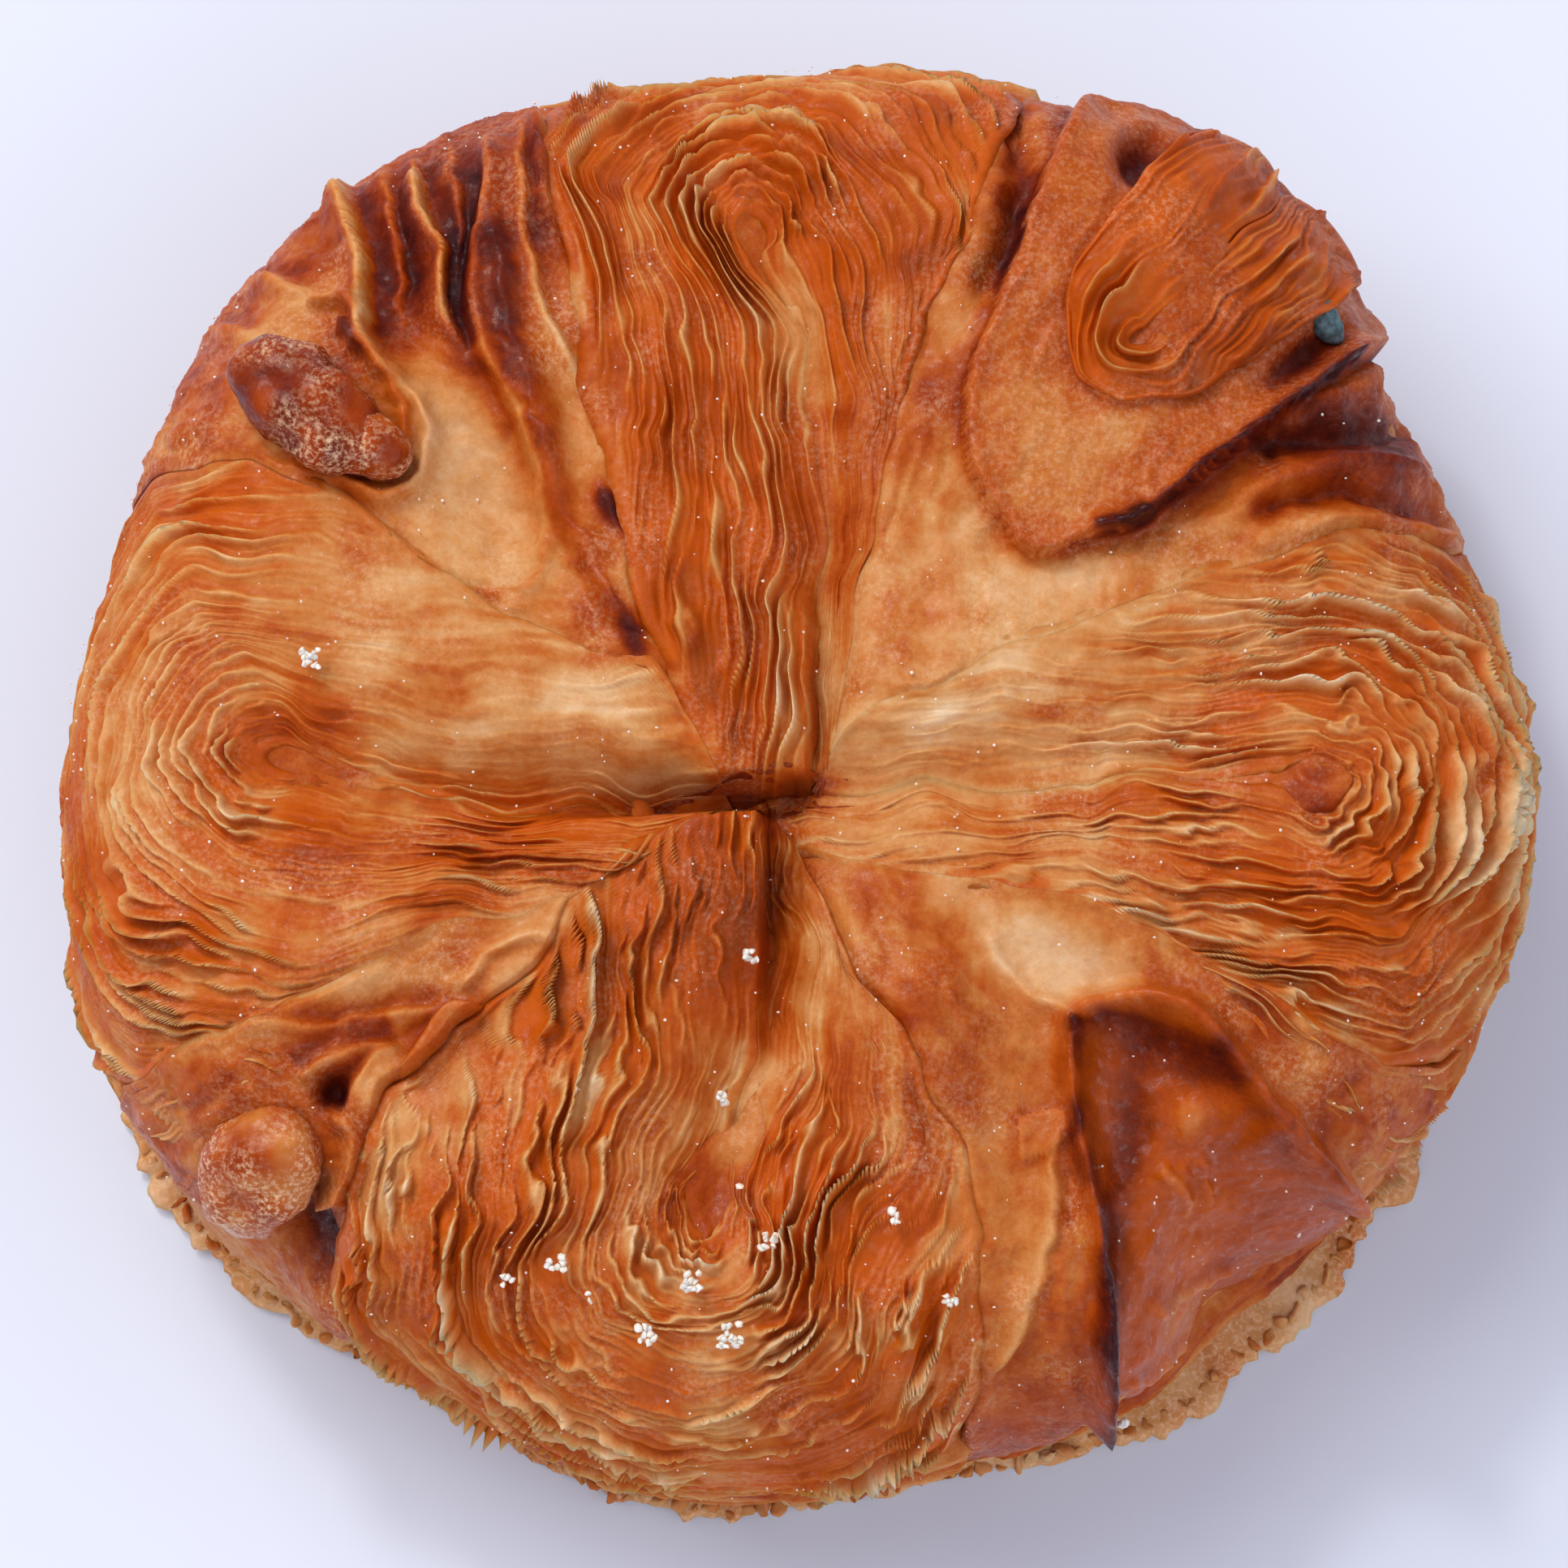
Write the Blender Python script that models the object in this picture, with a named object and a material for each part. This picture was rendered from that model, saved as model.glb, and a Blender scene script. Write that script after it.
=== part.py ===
"""Kouign-amann: a round cake of laminated dough whose four corners are folded to the middle.

The cut edges meet along four seams. Thin layers run beside each seam and turn
in a hairpin round its outer end, the eye. Curled caramelised tips sit on the
diagonals, the underside is flat, and a rough rim of set sugar rings its foot.

Lengths are in millimetres inside the functions and metres in the mesh.
The surface is laid out on a flat plan (u, v) that is then rolled over the rim.
"""

import math

import bmesh
import bpy
import numpy as np

MM = 0.001
SEED = 27

# Body
CROWN_HEIGHT = 33.0
SHOULDER_REACH = 13.0
SHOULDER_DROP = 15.0
SHOULDER_ROLL = 22.0
WALL_HEIGHT = 18.0
WALL_DRAFT = 0.006
# Widest radius every 20 degrees, counter-clockwise from +X
OUTLINE = (50.0, 48.5, 49.5, 50.5, 49.5, 48.0, 50.5, 50.5, 48.5,
           49.5, 50.5, 50.0, 48.5, 49.5, 48.5, 49.0, 48.5, 50.0)

# Sugar rim at the foot
FOOT_HEIGHT = 2.6
FOOT_EDGE = 1.5
FOOT_REACH = 0.5
FOOT_ROUGHNESS = 1.3

# Lamination
CENTRE = (0.0, -3.7)
RIDGES = 8
COLUMNS_PER_HALF = 17
RIDGE_SHARE = 0.32
RIDGE_LIMITS = (0.25, 0.85)
WAVINESS = 0.22
SKIN_ROWS = 9

# Seams run from the centre to the eye; borders run counter-clockwise round the layers.
TIP_NE = (3.2, -1.4)
TIP_NW = (-6.4, 0.9)
TIP_SW = (-11.0, -10.8)
TIP_SE = (0.8, -7.6)
LOBES = {
    "north": {
        "seam": (CENTRE, (1.9, 3.0), (2.2, 14.6), (0.9, 25.7), (-2.4, 34.2)),
        "border": (TIP_NE, (4.0, 3.0), (5.0, 11.5), (6.6, 19.0), (9.0, 28.0), (13.0, 37.0), (16.0, 49.0),
                   (9.0, 57.0), (-3.0, 59.5), (-15.0, 55.0), (-18.0, 45.0), (-15.7, 36.0), (-13.7, 27.0),
                   (-11.6, 17.0), (-9.0, 8.0), TIP_NW),
    },
    "west": {
        "seam": (CENTRE, (-8.2, -4.8), (-15.9, -4.4), (-22.4, -4.0), (-34.2, -1.2)),
        "border": (TIP_NW, (-14.7, 6.3), (-20.3, 9.7), (-25.7, 12.6), (-31.5, 16.4), (-40.7, 19.5),
                   (-52.0, 19.0), (-60.0, 11.0), (-62.0, -2.0), (-60.0, -15.0), (-53.0, -24.0),
                   (-43.4, -22.2), (-35.2, -18.5), (-25.4, -14.3), (-17.9, -12.5), TIP_SW),
    },
    "south": {
        "seam": (CENTRE, (-1.4, -10.7), (-1.5, -18.9), (-3.8, -24.5), (-5.6, -31.8)),
        "border": (TIP_SW, (-15.8, -16.0), (-22.3, -20.4), (-27.5, -26.0), (-31.0, -34.0), (-34.0, -46.0),
                   (-27.0, -56.0), (-13.0, -62.0), (0.0, -63.0), (9.0, -58.0), (12.3, -48.0), (12.3, -36.0),
                   (10.4, -27.0), (7.6, -20.5), (3.6, -15.0), TIP_SE),
    },
    "east": {
        "seam": (CENTRE, (9.4, -3.3), (17.7, -3.1), (25.6, -2.7), (34.4, -3.0)),
        "border": (TIP_SE, (4.2, -8.6), (12.1, -9.8), (22.8, -12.6), (28.3, -16.2), (36.1, -20.4),
                   (44.0, -22.0), (53.0, -20.0), (60.0, -11.0), (62.0, 0.0), (57.0, 10.0), (48.5, 14.5),
                   (40.4, 14.7), (31.4, 11.8), (23.0, 9.2), (14.9, 5.9), (6.9, 2.0), TIP_NE),
    },
}
START_ANGLES = {"north": 45.0, "west": 135.0, "south": 225.0, "east": 315.0}

# Depth of each seam below the crown at equal steps from the centre to the eye, and its half width
SEAM_DEPTHS = {
    "north": ((9.0, 6.0, 3.2, 2.4, 1.0), 2.4),
    "west": ((9.0, 8.5, 5.5, 3.8, 2.6), 3.2),
    "south": ((9.0, 8.0, 6.0, 4.4, 3.0), 3.0),
    "east": ((9.0, 7.0, 4.6, 2.8, -0.4), 3.6),
}

# Height of the south-west flap's corner over the crown
BLOCK_RISE = 0.8

# Rounded swellings and hollows: u, v, half length, half width, turn in degrees, rise
SWELLINGS = (
    (-9.0, 14.0, 12.0, 5.0, 105.0, 1.6),
    (9.0, 12.0, 12.0, 6.0, 70.0, 0.8),
    (15.0, 4.5, 14.0, 5.0, 25.0, 1.0),
    (26.0, -13.0, 14.0, 6.0, -25.0, 1.4),
    (8.5, -19.0, 8.0, 4.5, -70.0, 2.2),
    (-13.0, -24.0, 13.0, 6.0, -110.0, 1.8),
    (-22.0, -12.0, 12.0, 5.0, 20.0, 1.4),
    (-21.0, 7.0, 12.0, 4.5, 155.0, 0.8),
    (-20.0, 15.0, 6.5, 4.0, 120.0, -2.6),
    (31.0, 26.0, 12.0, 7.0, 40.0, -2.0),
    (32.0, -38.0, 16.0, 6.5, -52.0, -5.0),
    (-26.0, -19.0, 8.0, 4.0, 35.0, -2.0),
    (-36.0, -34.0, 9.0, 5.0, 45.0, -4.0),
    (-30.0, 33.0, 8.0, 8.0, 0.0, -1.6),
    (15.0, -38.0, 18.0, 3.5, -85.0, -1.8),
)

# Long folds laid on the surface: path of (u, v), rise, half width
FOLDS = {
    "curtain_a": (((-31.5, 41.0), (-30.0, 34.0), (-29.0, 27.5), (-28.0, 21.5)), 1.6, 1.5),
    "curtain_b": (((-25.5, 40.0), (-24.5, 34.0), (-23.3, 29.0), (-22.3, 24.5)), 1.7, 1.4),
    "curtain_c": (((-21.0, 42.0), (-20.5, 34.0), (-19.5, 27.0), (-17.5, 17.0)), 1.9, 1.5),
    "curtain_d": (((-18.0, 36.0), (-16.8, 27.0), (-14.5, 17.5), (-12.2, 12.0), (-8.0, 3.5)), 1.6, 1.4),
    "tongue_edge": (((44.0, 33.0), (34.0, 25.5), (26.0, 19.6), (20.0, 14.8)), 2.6, 1.1),
    "pleat_ne_a": (((53.0, 28.0), (44.0, 25.5), (36.0, 20.5), (28.0, 15.6)), 1.5, 1.7),
    "pleat_ne_b": (((55.0, 22.0), (46.0, 21.0), (38.0, 16.8), (30.0, 12.8)), 1.3, 1.6),
    "cone_left": (((26.5, -53.0), (24.0, -43.0), (21.2, -33.0), (19.4, -25.0), (18.9, -18.8)), 3.6, 1.1),
    "cone_top": (((18.9, -19.4), (23.5, -18.8), (28.5, -20.8), (33.0, -24.5), (39.5, -30.0)), 3.4, 1.5),
    "cone_flange": (((39.5, -30.0), (42.0, -38.0), (40.0, -46.0)), 2.0, 2.2),
    "flake_sw_a": (((-34.0, -23.5), (-28.0, -19.6), (-22.0, -17.4)), 1.8, 1.2),
    "flake_sw_b": (((-29.5, -26.5), (-26.0, -20.5), (-20.5, -15.8)), 2.0, 1.5),
    "loop_nw": (((-38.0, 24.5), (-32.0, 26.0), (-25.0, 23.0), (-21.5, 17.0), (-24.5, 13.0)), 1.6, 1.1),
    "pale_tip_sw": (((-25.0, -17.0), (-19.0, -12.6), (-13.6, -9.8)), 1.2, 1.6),
}

# Ridged wedges that stand proud: left and right edges from the rim to the free tip as (u, v, lift)
WEDGES = {
    "tongue_ne": {
        "left": ((20.0, 47.0, 0.6), (15.5, 38.0, 1.6), (12.6, 28.0, 2.6), (12.2, 20.5, 3.2), (16.0, 12.8, 3.0)),
        "right": ((44.0, 33.0, 0.6), (34.0, 25.5, 1.8), (27.0, 20.4, 2.8), (21.5, 16.0, 3.2), (18.6, 13.4, 3.0)),
        "sag": 1.2,
        "depth": 5.0,
    },
    "pocket_ne": {
        "left": ((29.0, 44.0, 1.2), (23.5, 38.0, 2.8), (20.5, 32.0, 3.8), (20.2, 26.6, 3.8)),
        "right": ((41.0, 35.0, 1.2), (34.0, 30.5, 2.6), (28.0, 26.6, 3.6), (23.0, 24.2, 3.8)),
        "sag": -0.6,
        "depth": 6.0,
    },
    "roll_ne": {
        "left": ((33.0, 47.0, 1.4), (28.5, 41.0, 3.6), (26.0, 36.5, 4.6)),
        "right": ((42.0, 39.5, 1.4), (37.0, 35.0, 3.4), (31.5, 32.0, 4.6)),
        "sag": -0.8,
        "depth": 6.0,
    },
}

# Caramelised knobs: u, v, lift, half length, half width, half height, turn in degrees
KNOBS = {
    "knob_nw": (-30.5, 20.0, 0.6, 8.0, 4.2, 3.4, -35.0),
    "knob_sw": (-40.0, -32.5, 0.8, 5.4, 3.8, 3.4, 45.0),
}

# Sugar grains: patches of (u, v, spread, count)
GRAIN_SIZE = (0.55, 1.0)
GRAIN_PATCHES = (
    (-16.5, -36.0, 4.5, 7),
    (-7.0, -39.5, 4.0, 6),
    (-2.0, -33.0, 3.0, 4),
    (5.5, -34.0, 4.0, 3),
    (26.0, -23.0, 5.0, 5),
    (17.0, 22.0, 5.0, 3),
    (26.0, -50.0, 2.0, 1),
)

CRUST_COLOUR = (0.448, 0.107, 0.022, 1.0)
CRUST_ROUGHNESS = 0.42


def clear_scene():
    for old in list(bpy.data.objects):
        bpy.data.objects.remove(old, do_unlink=True)


def crust_material():
    material = bpy.data.materials.new("browned_crust")
    material.use_nodes = True
    shader = material.node_tree.nodes["Principled BSDF"]
    shader.inputs["Base Color"].default_value = CRUST_COLOUR
    shader.inputs["Roughness"].default_value = CRUST_ROUGHNESS
    shader.inputs["Metallic"].default_value = 0.0
    return material


def spline(points, fractions):
    """Smooth curve through the points, read at fractions of its length."""
    control = np.asarray(points, float)
    padded = np.vstack([2 * control[0] - control[1], control, 2 * control[-1] - control[-2]])
    dense = []
    for i in range(len(control) - 1):
        a, b, c, d = padded[i:i + 4]
        for step in range(24):
            f = step / 24
            dense.append(b + 0.5 * f * (c - a + f * (2 * a - 5 * b + 4 * c - d + f * (3 * (b - c) + d - a))))
    dense.append(control[-1])
    dense = np.array(dense)
    length = np.concatenate([[0.0], np.cumsum(np.linalg.norm(np.diff(dense, axis=0), axis=1))])
    length /= length[-1]
    return np.stack([np.interp(fractions, length, dense[:, k]) for k in range(dense.shape[1])], axis=-1)


def outline_radius(angle):
    """Widest radius at an angle, smooth between the named ones."""
    place = (np.degrees(angle) % 360.0) / 20.0
    index = np.floor(place).astype(int)
    f = place - index
    radii = np.array(OUTLINE)
    a = radii[(index - 1) % 18]
    b = radii[index % 18]
    c = radii[(index + 1) % 18]
    d = radii[(index + 2) % 18]
    return b + 0.5 * f * (c - a + f * (2 * a - 5 * b + 4 * c - d + f * (3 * (b - c) + d - a)))


def rolled(plan):
    """Plain body under the plan: level crown, rounded shoulder, upright wall."""
    u, v = plan[..., 0], plan[..., 1]
    reach = np.hypot(u, v)
    angle = np.arctan2(v, u)
    widest = outline_radius(angle)
    level = widest - SHOULDER_REACH
    turn = np.clip((reach - level) / SHOULDER_ROLL, 0.0, 1.0) * math.pi / 2
    fall = np.clip(reach - level - SHOULDER_ROLL, 0.0, WALL_HEIGHT)
    radius = np.where(reach < level, reach, level + SHOULDER_REACH * np.sin(turn)) - WALL_DRAFT * fall ** 2
    height = CROWN_HEIGHT - SHOULDER_DROP * (1.0 - np.cos(turn)) - fall
    return np.stack([radius * np.cos(angle), radius * np.sin(angle), height], axis=-1)


def outward(plan):
    """Unit normal of the plain body."""
    step = 0.05
    east = rolled(plan + (step, 0.0)) - rolled(plan - (step, 0.0))
    north = rolled(plan + (0.0, step)) - rolled(plan - (0.0, step))
    normal = np.cross(east, north)
    return normal / np.linalg.norm(normal, axis=-1, keepdims=True)


def path_distance(plan, path):
    """Distance from each plan point to a path, and how far along it is, 0 to 1."""
    path = np.asarray(path, float)
    legs = np.linalg.norm(np.diff(path, axis=0), axis=1)
    starts = np.concatenate([[0.0], np.cumsum(legs)])
    best = np.full(plan.shape[:-1], 1e9)
    along = np.zeros(plan.shape[:-1])
    for i, leg in enumerate(legs):
        direction = (path[i + 1] - path[i]) / leg
        offset = plan - path[i]
        run = np.clip(offset @ direction, 0.0, leg)
        gap = np.linalg.norm(offset - run[..., None] * direction, axis=-1)
        nearer = gap < best
        best = np.where(nearer, gap, best)
        along = np.where(nearer, (starts[i] + run) / starts[-1], along)
    return best, along


def smooth_step(value):
    value = np.clip(value, 0.0, 1.0)
    return value * value * (3.0 - 2.0 * value)


def relief(plan):
    """Rise of the real surface over the plain body, along its normal."""
    u, v = plan[..., 0], plan[..., 1]
    reach = np.hypot(u, v - CENTRE[1])
    rise = -1.2 * np.exp(-(reach / 9.0) ** 2)
    for lobe, (depths, half_width) in SEAM_DEPTHS.items():
        gap, along = path_distance(plan, LOBES[lobe]["seam"])
        depth = np.interp(along, np.linspace(0.0, 1.0, len(depths)), depths)
        flare = half_width * (0.7 + 0.6 * along)
        groove = -depth * np.exp(-(gap / flare) ** 2)
        rise = np.minimum(rise, groove) if lobe != "east" else np.where(groove < rise, groove, rise)
    share = corner_block(plan)
    rise = rise * (1.0 - share) + BLOCK_RISE * share
    for cu, cv, half_length, half_width, turn, height in SWELLINGS:
        angle = math.radians(turn)
        along = (u - cu) * math.cos(angle) + (v - cv) * math.sin(angle)
        across = -(u - cu) * math.sin(angle) + (v - cv) * math.cos(angle)
        rise += height * np.exp(-(along / half_length) ** 2 - (across / half_width) ** 2)
    return rise


def corner_block(plan):
    """Share of the south-west flap's corner, square and upright over the two seams beside it."""
    west = smooth_step((-1.6 - plan[..., 0]) / 1.8)
    south = smooth_step((-4.6 - plan[..., 1]) / 1.8)
    near = np.exp(-(np.hypot(plan[..., 0] + 3.0, plan[..., 1] + 6.0) / 10.0) ** 2)
    return west * south * near


def surface(plan, lift=0.0):
    """Real surface point over a plan point, raised by lift."""
    plan = np.asarray(plan, float)
    return rolled(plan) + outward(plan) * (relief(plan) + lift)[..., None]


def loop_lines():
    """Seam and border of all lobes as two closed rows of plan points, and the foot angles."""
    seam, border, angles = [], [], []
    count = 2 * COLUMNS_PER_HALF
    for name, lobe in LOBES.items():
        steps = np.arange(count) / COLUMNS_PER_HALF
        toward_eye = np.clip((1.0 - np.abs(1.0 - steps)) * 1.3, 0.0, 1.0)
        seam.append(spline(lobe["seam"], toward_eye))
        border.append(spline(lobe["border"], steps / 2.0))
        angles.append(np.radians(START_ANGLES[name] + 45.0 * steps))
    return np.vstack(seam), np.vstack(border), np.concatenate(angles)


def seam_vertex_ids():
    """Row of vertex numbers for the seams, where the two banks share their vertices."""
    ids = []
    free = 1
    half = COLUMNS_PER_HALF
    for _ in LOBES:
        stops = int(math.ceil(half / 1.3))
        first = free
        for k in range(2 * half):
            depth = min(k, 2 * half - k, stops)
            ids.append(0 if depth == 0 else first + depth - 1)
        free += stops
    return ids


def body_rows():
    """Rows of points from the seams over the layers and the skin to the foot."""
    rng = np.random.default_rng(SEED)
    seam, border, angles = loop_lines()
    last_layer = 2 * RIDGES
    rows = []
    spacing = np.linalg.norm(border - seam, axis=1) / last_layer
    swing = np.clip(RIDGE_SHARE * spacing, *RIDGE_LIMITS)
    for j in range(last_layer + 1):
        t = (j + 0.35) / (last_layer + 0.35) if j else 0.0
        plan = seam + (border - seam) * t
        ridge = 0.0 if j == 0 else swing * (1.0 if j % 2 else -1.0)
        wave = WAVINESS * rng.standard_normal(len(plan)) if 0 < j < last_layer else 0.0
        rows.append(surface(plan, ridge + wave * np.ones(len(plan))))
    foot_reach = outline_radius(angles) - SHOULDER_REACH + SHOULDER_ROLL + WALL_HEIGHT - FOOT_HEIGHT
    foot = np.stack([foot_reach * np.cos(angles), foot_reach * np.sin(angles)], axis=-1)
    for j in range(1, SKIN_ROWS + 1):
        t = j / SKIN_ROWS
        plan = border + (foot - border) * t
        fade = 1.0 - smooth_step((t - 0.75) / 0.25)
        rough = 0.12 * rng.standard_normal(len(plan))
        plain = rolled(plan)
        rows.append(plain + outward(plan) * ((relief(plan) * fade) + rough * fade)[..., None])
    return rows, angles


def foot_rows(last_row, angles):
    """Rough rim of set sugar at the foot, wider toward the south-east and south-west."""
    rng = np.random.default_rng(SEED + 1)
    radius = np.hypot(last_row[:, 0], last_row[:, 1])
    spill = 1.6 * np.exp(-((np.degrees(angles) % 360 - 318) / 22) ** 2)
    spill += 1.3 * np.exp(-((np.degrees(angles) % 360 - 213) / 20) ** 2)
    edge = radius + FOOT_REACH + spill + FOOT_ROUGHNESS * rng.uniform(-0.5, 0.5, len(radius))
    direction = last_row[:, :2] / radius[:, None]
    outer = np.column_stack([direction * edge[:, None], np.full(len(edge), FOOT_EDGE)])
    sole = np.column_stack([direction * (edge - 0.5)[:, None], np.zeros(len(edge))])
    return [outer, sole]


def add_row_faces(mesh, upper, lower):
    """Faces between two closed rows of vertices; a pair that has met gives a triangle."""
    count = len(upper)
    for k in range(count):
        n = (k + 1) % count
        ring = [upper[k], lower[k], lower[n], upper[n]]
        corners = []
        for vertex in ring:
            if vertex not in corners:
                corners.append(vertex)
        if len(corners) > 2:
            mesh.faces.new(corners)


def make_object(name, mesh, collection, material=None):
    bmesh.ops.triangulate(mesh, faces=mesh.faces[:])
    bmesh.ops.recalc_face_normals(mesh, faces=mesh.faces[:])
    data = bpy.data.meshes.new(name)
    mesh.to_mesh(data)
    mesh.free()
    piece = bpy.data.objects.new(name, data)
    collection.objects.link(piece)
    if material is not None:
        data.materials.append(material)
    return piece


def build_body(collection, material):
    """One closed loft: seams, layers, skin, foot and a flat sole."""
    rows, angles = body_rows()
    rows += foot_rows(rows[-1], angles)
    mesh = bmesh.new()
    shared = {}
    first = []
    for point, vertex_id in zip(rows[0], seam_vertex_ids()):
        if vertex_id not in shared:
            shared[vertex_id] = mesh.verts.new(point * MM)
        first.append(shared[vertex_id])
    previous = first
    for row in rows[1:]:
        current = [mesh.verts.new(point * MM) for point in row]
        add_row_faces(mesh, previous, current)
        previous = current
    mesh.faces.new(list(reversed(previous)))
    return make_object("pastry", mesh, collection, material)


def closed_tube(sections):
    """Closed mesh through a run of point rings."""
    mesh = bmesh.new()
    rings = [[mesh.verts.new(point * MM) for point in ring] for ring in sections]
    for near, far in zip(rings, rings[1:]):
        add_row_faces(mesh, near, far)
    mesh.faces.new(list(reversed(rings[0])))
    mesh.faces.new(rings[-1])
    return mesh


def build_fold(name, path, rise, half_width, collection):
    """Rounded crest swept along a path and rooted under the surface."""
    fractions = np.linspace(0.0, 1.0, 7)
    line = spline(path, fractions)
    tangent = np.gradient(line, axis=0)
    side = np.column_stack([-tangent[:, 1], tangent[:, 0]])
    side /= np.linalg.norm(side, axis=1, keepdims=True)
    swell = np.sin(np.pi * np.clip(fractions * 0.84 + 0.08, 0.0, 1.0)) ** 0.6
    profile = ((-1.0, -2.4), (-0.95, -0.6), (-0.55, 0.75), (0.0, 1.0), (0.55, 0.75), (0.95, -0.6), (1.0, -2.4))
    sections = []
    for point, across, scale in zip(line, side, swell):
        ring = []
        for offset, height in profile:
            plan = point + across * offset * half_width * scale
            lift = height * rise * scale if height > 0 else height
            ring.append(surface(plan[None, :], np.array([lift]))[0])
        sections.append(np.array(ring))
    return make_object(name, closed_tube(sections), collection)


def build_wedge(name, spec, collection):
    """Curled flap: ruled between two edges, hollow or bulged between them, rooted in the body."""
    fractions = np.linspace(0.0, 1.0, 7)
    left = spline(spec["left"], fractions)
    right = spline(spec["right"], fractions)
    across = np.linspace(0.0, 1.0, 5)
    sections = []
    for start, end in zip(left, right):
        strip = start + (end - start) * across[:, None]
        lift = strip[:, 2] - spec["sag"] * np.sin(np.pi * across)
        top = surface(strip[:, :2], lift)
        under = surface(strip[::-1, :2], lift[::-1] - spec["depth"])
        sections.append(np.vstack([top, under]))
    return make_object(name, closed_tube(sections), collection)


def build_knob(name, spec, collection):
    """Lumpy rounded end of a caramelised curl."""
    u, v, lift, half_length, half_width, half_height, turn = spec
    rng = np.random.default_rng(SEED + len(name))
    plan = np.array([[u, v]])
    centre = surface(plan, np.array([lift]))[0]
    up = outward(plan)[0]
    along = np.array([math.cos(math.radians(turn)), math.sin(math.radians(turn)), 0.0])
    along -= up * float(along @ up)
    along /= np.linalg.norm(along)
    side = np.cross(up, along)
    mesh = bmesh.new()
    bmesh.ops.create_uvsphere(mesh, u_segments=12, v_segments=8, radius=1.0)
    for vertex in mesh.verts:
        x, y, z = vertex.co
        lump = 1.0 + 0.06 * rng.standard_normal()
        point = centre + (along * x * half_length + side * y * half_width + up * z * half_height) * lump
        vertex.co = point * MM
    return make_object(name, mesh, collection)


def build_grain(name, point, size, rng, collection):
    """Angular sugar grain, about a third of it sunk in the glaze."""
    mesh = bmesh.new()
    bmesh.ops.create_icosphere(mesh, subdivisions=1, radius=1.0)
    spin = rng.uniform(0.0, math.tau)
    for vertex in mesh.verts:
        x, y, z = vertex.co
        scale = size * rng.uniform(0.82, 1.1)
        px = x * math.cos(spin) - y * math.sin(spin)
        py = x * math.sin(spin) + y * math.cos(spin)
        vertex.co = (point + np.array([px, py, z * 0.8]) * scale + (0.0, 0.0, size * 0.2)) * MM
    return make_object(name, mesh, collection)


def build_grains(body, collection):
    """Grains dropped straight down on the body in their patches."""
    rng = np.random.default_rng(SEED + 5)
    taken = []
    for u, v, spread, count in GRAIN_PATCHES:
        placed = 0
        while placed < count:
            plan = np.array([u, v]) + rng.uniform(-spread, spread, 2)
            if any(np.hypot(*(plan - other)) < 2.4 for other in taken):
                continue
            taken.append(plan)
            placed += 1
            above = rolled(plan[None, :])[0] + (0.0, 0.0, 30.0)
            hit, location, _, _ = body.ray_cast(above * MM, (0.0, 0.0, -1.0))
            if hit:
                point = np.array(location) / MM
                build_grain(f"grain_{len(taken)}", point, rng.uniform(*GRAIN_SIZE), rng, collection)


def build_additions(body, collection):
    """Everything that is fused to the body."""
    for name, (path, rise, half_width) in FOLDS.items():
        build_fold(name, path, rise, half_width, collection)
    for name, spec in WEDGES.items():
        build_wedge(name, spec, collection)
    for name, spec in KNOBS.items():
        build_knob(name, spec, collection)
    bpy.context.view_layer.update()
    build_grains(body, collection)


def fuse(body, collection):
    """Join the additions to the body as one solid and drop the separate meshes."""
    union = body.modifiers.new("fused_additions", "BOOLEAN")
    union.operation = "UNION"
    union.operand_type = "COLLECTION"
    union.collection = collection
    union.solver = "MANIFOLD"
    bpy.context.view_layer.update()
    evaluated = body.evaluated_get(bpy.context.evaluated_depsgraph_get())
    joined = bpy.data.meshes.new_from_object(evaluated)
    body.modifiers.remove(union)
    body.data = joined
    joined.name = "pastry"
    for piece in list(collection.objects):
        bpy.data.objects.remove(piece, do_unlink=True)
    bpy.data.collections.remove(collection)


def main():
    clear_scene()
    cake = bpy.data.collections.new("kouign_amann")
    additions = bpy.data.collections.new("additions")
    bpy.context.scene.collection.children.link(cake)
    bpy.context.scene.collection.children.link(additions)
    material = crust_material()
    body = build_body(cake, material)
    build_additions(body, additions)
    fuse(body, additions)
    body.data.materials.clear()
    body.data.materials.append(material)
    for face in body.data.polygons:
        face.material_index = 0
    body.data.shade_smooth()
    body.data.set_sharp_from_angle(angle=math.radians(40.0))


if __name__ == "__main__":
    main()
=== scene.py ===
"""Kouign-amann: laminated dough folded to the middle, baked and caramelised.

Lengths are millimetres on the plan and in the classes, and metres in the meshes.
The plan is a flat layout (u, v) that is rolled over the rim of the cake.
A noise is given as an amount, the size of its cells in millimetres, and a seed.
"""

import enum
import logging
import math
from dataclasses import dataclass, field

import bmesh
import bpy
import numpy as np
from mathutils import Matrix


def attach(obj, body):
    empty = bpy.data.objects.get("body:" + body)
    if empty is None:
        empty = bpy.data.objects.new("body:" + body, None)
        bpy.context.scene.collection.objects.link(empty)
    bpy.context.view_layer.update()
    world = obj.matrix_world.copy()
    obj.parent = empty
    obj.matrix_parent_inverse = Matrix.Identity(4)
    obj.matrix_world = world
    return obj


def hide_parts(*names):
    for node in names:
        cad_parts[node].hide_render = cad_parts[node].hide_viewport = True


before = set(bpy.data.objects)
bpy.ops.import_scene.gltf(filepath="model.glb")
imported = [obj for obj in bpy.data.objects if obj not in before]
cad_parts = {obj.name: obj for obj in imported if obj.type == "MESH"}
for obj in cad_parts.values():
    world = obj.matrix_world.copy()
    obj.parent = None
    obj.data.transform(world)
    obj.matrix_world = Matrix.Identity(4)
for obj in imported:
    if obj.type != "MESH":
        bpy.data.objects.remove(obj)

MM = 0.001
LOG = logging.getLogger("kouign_amann")
Pairs = tuple[tuple[float, ...], ...]
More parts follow.
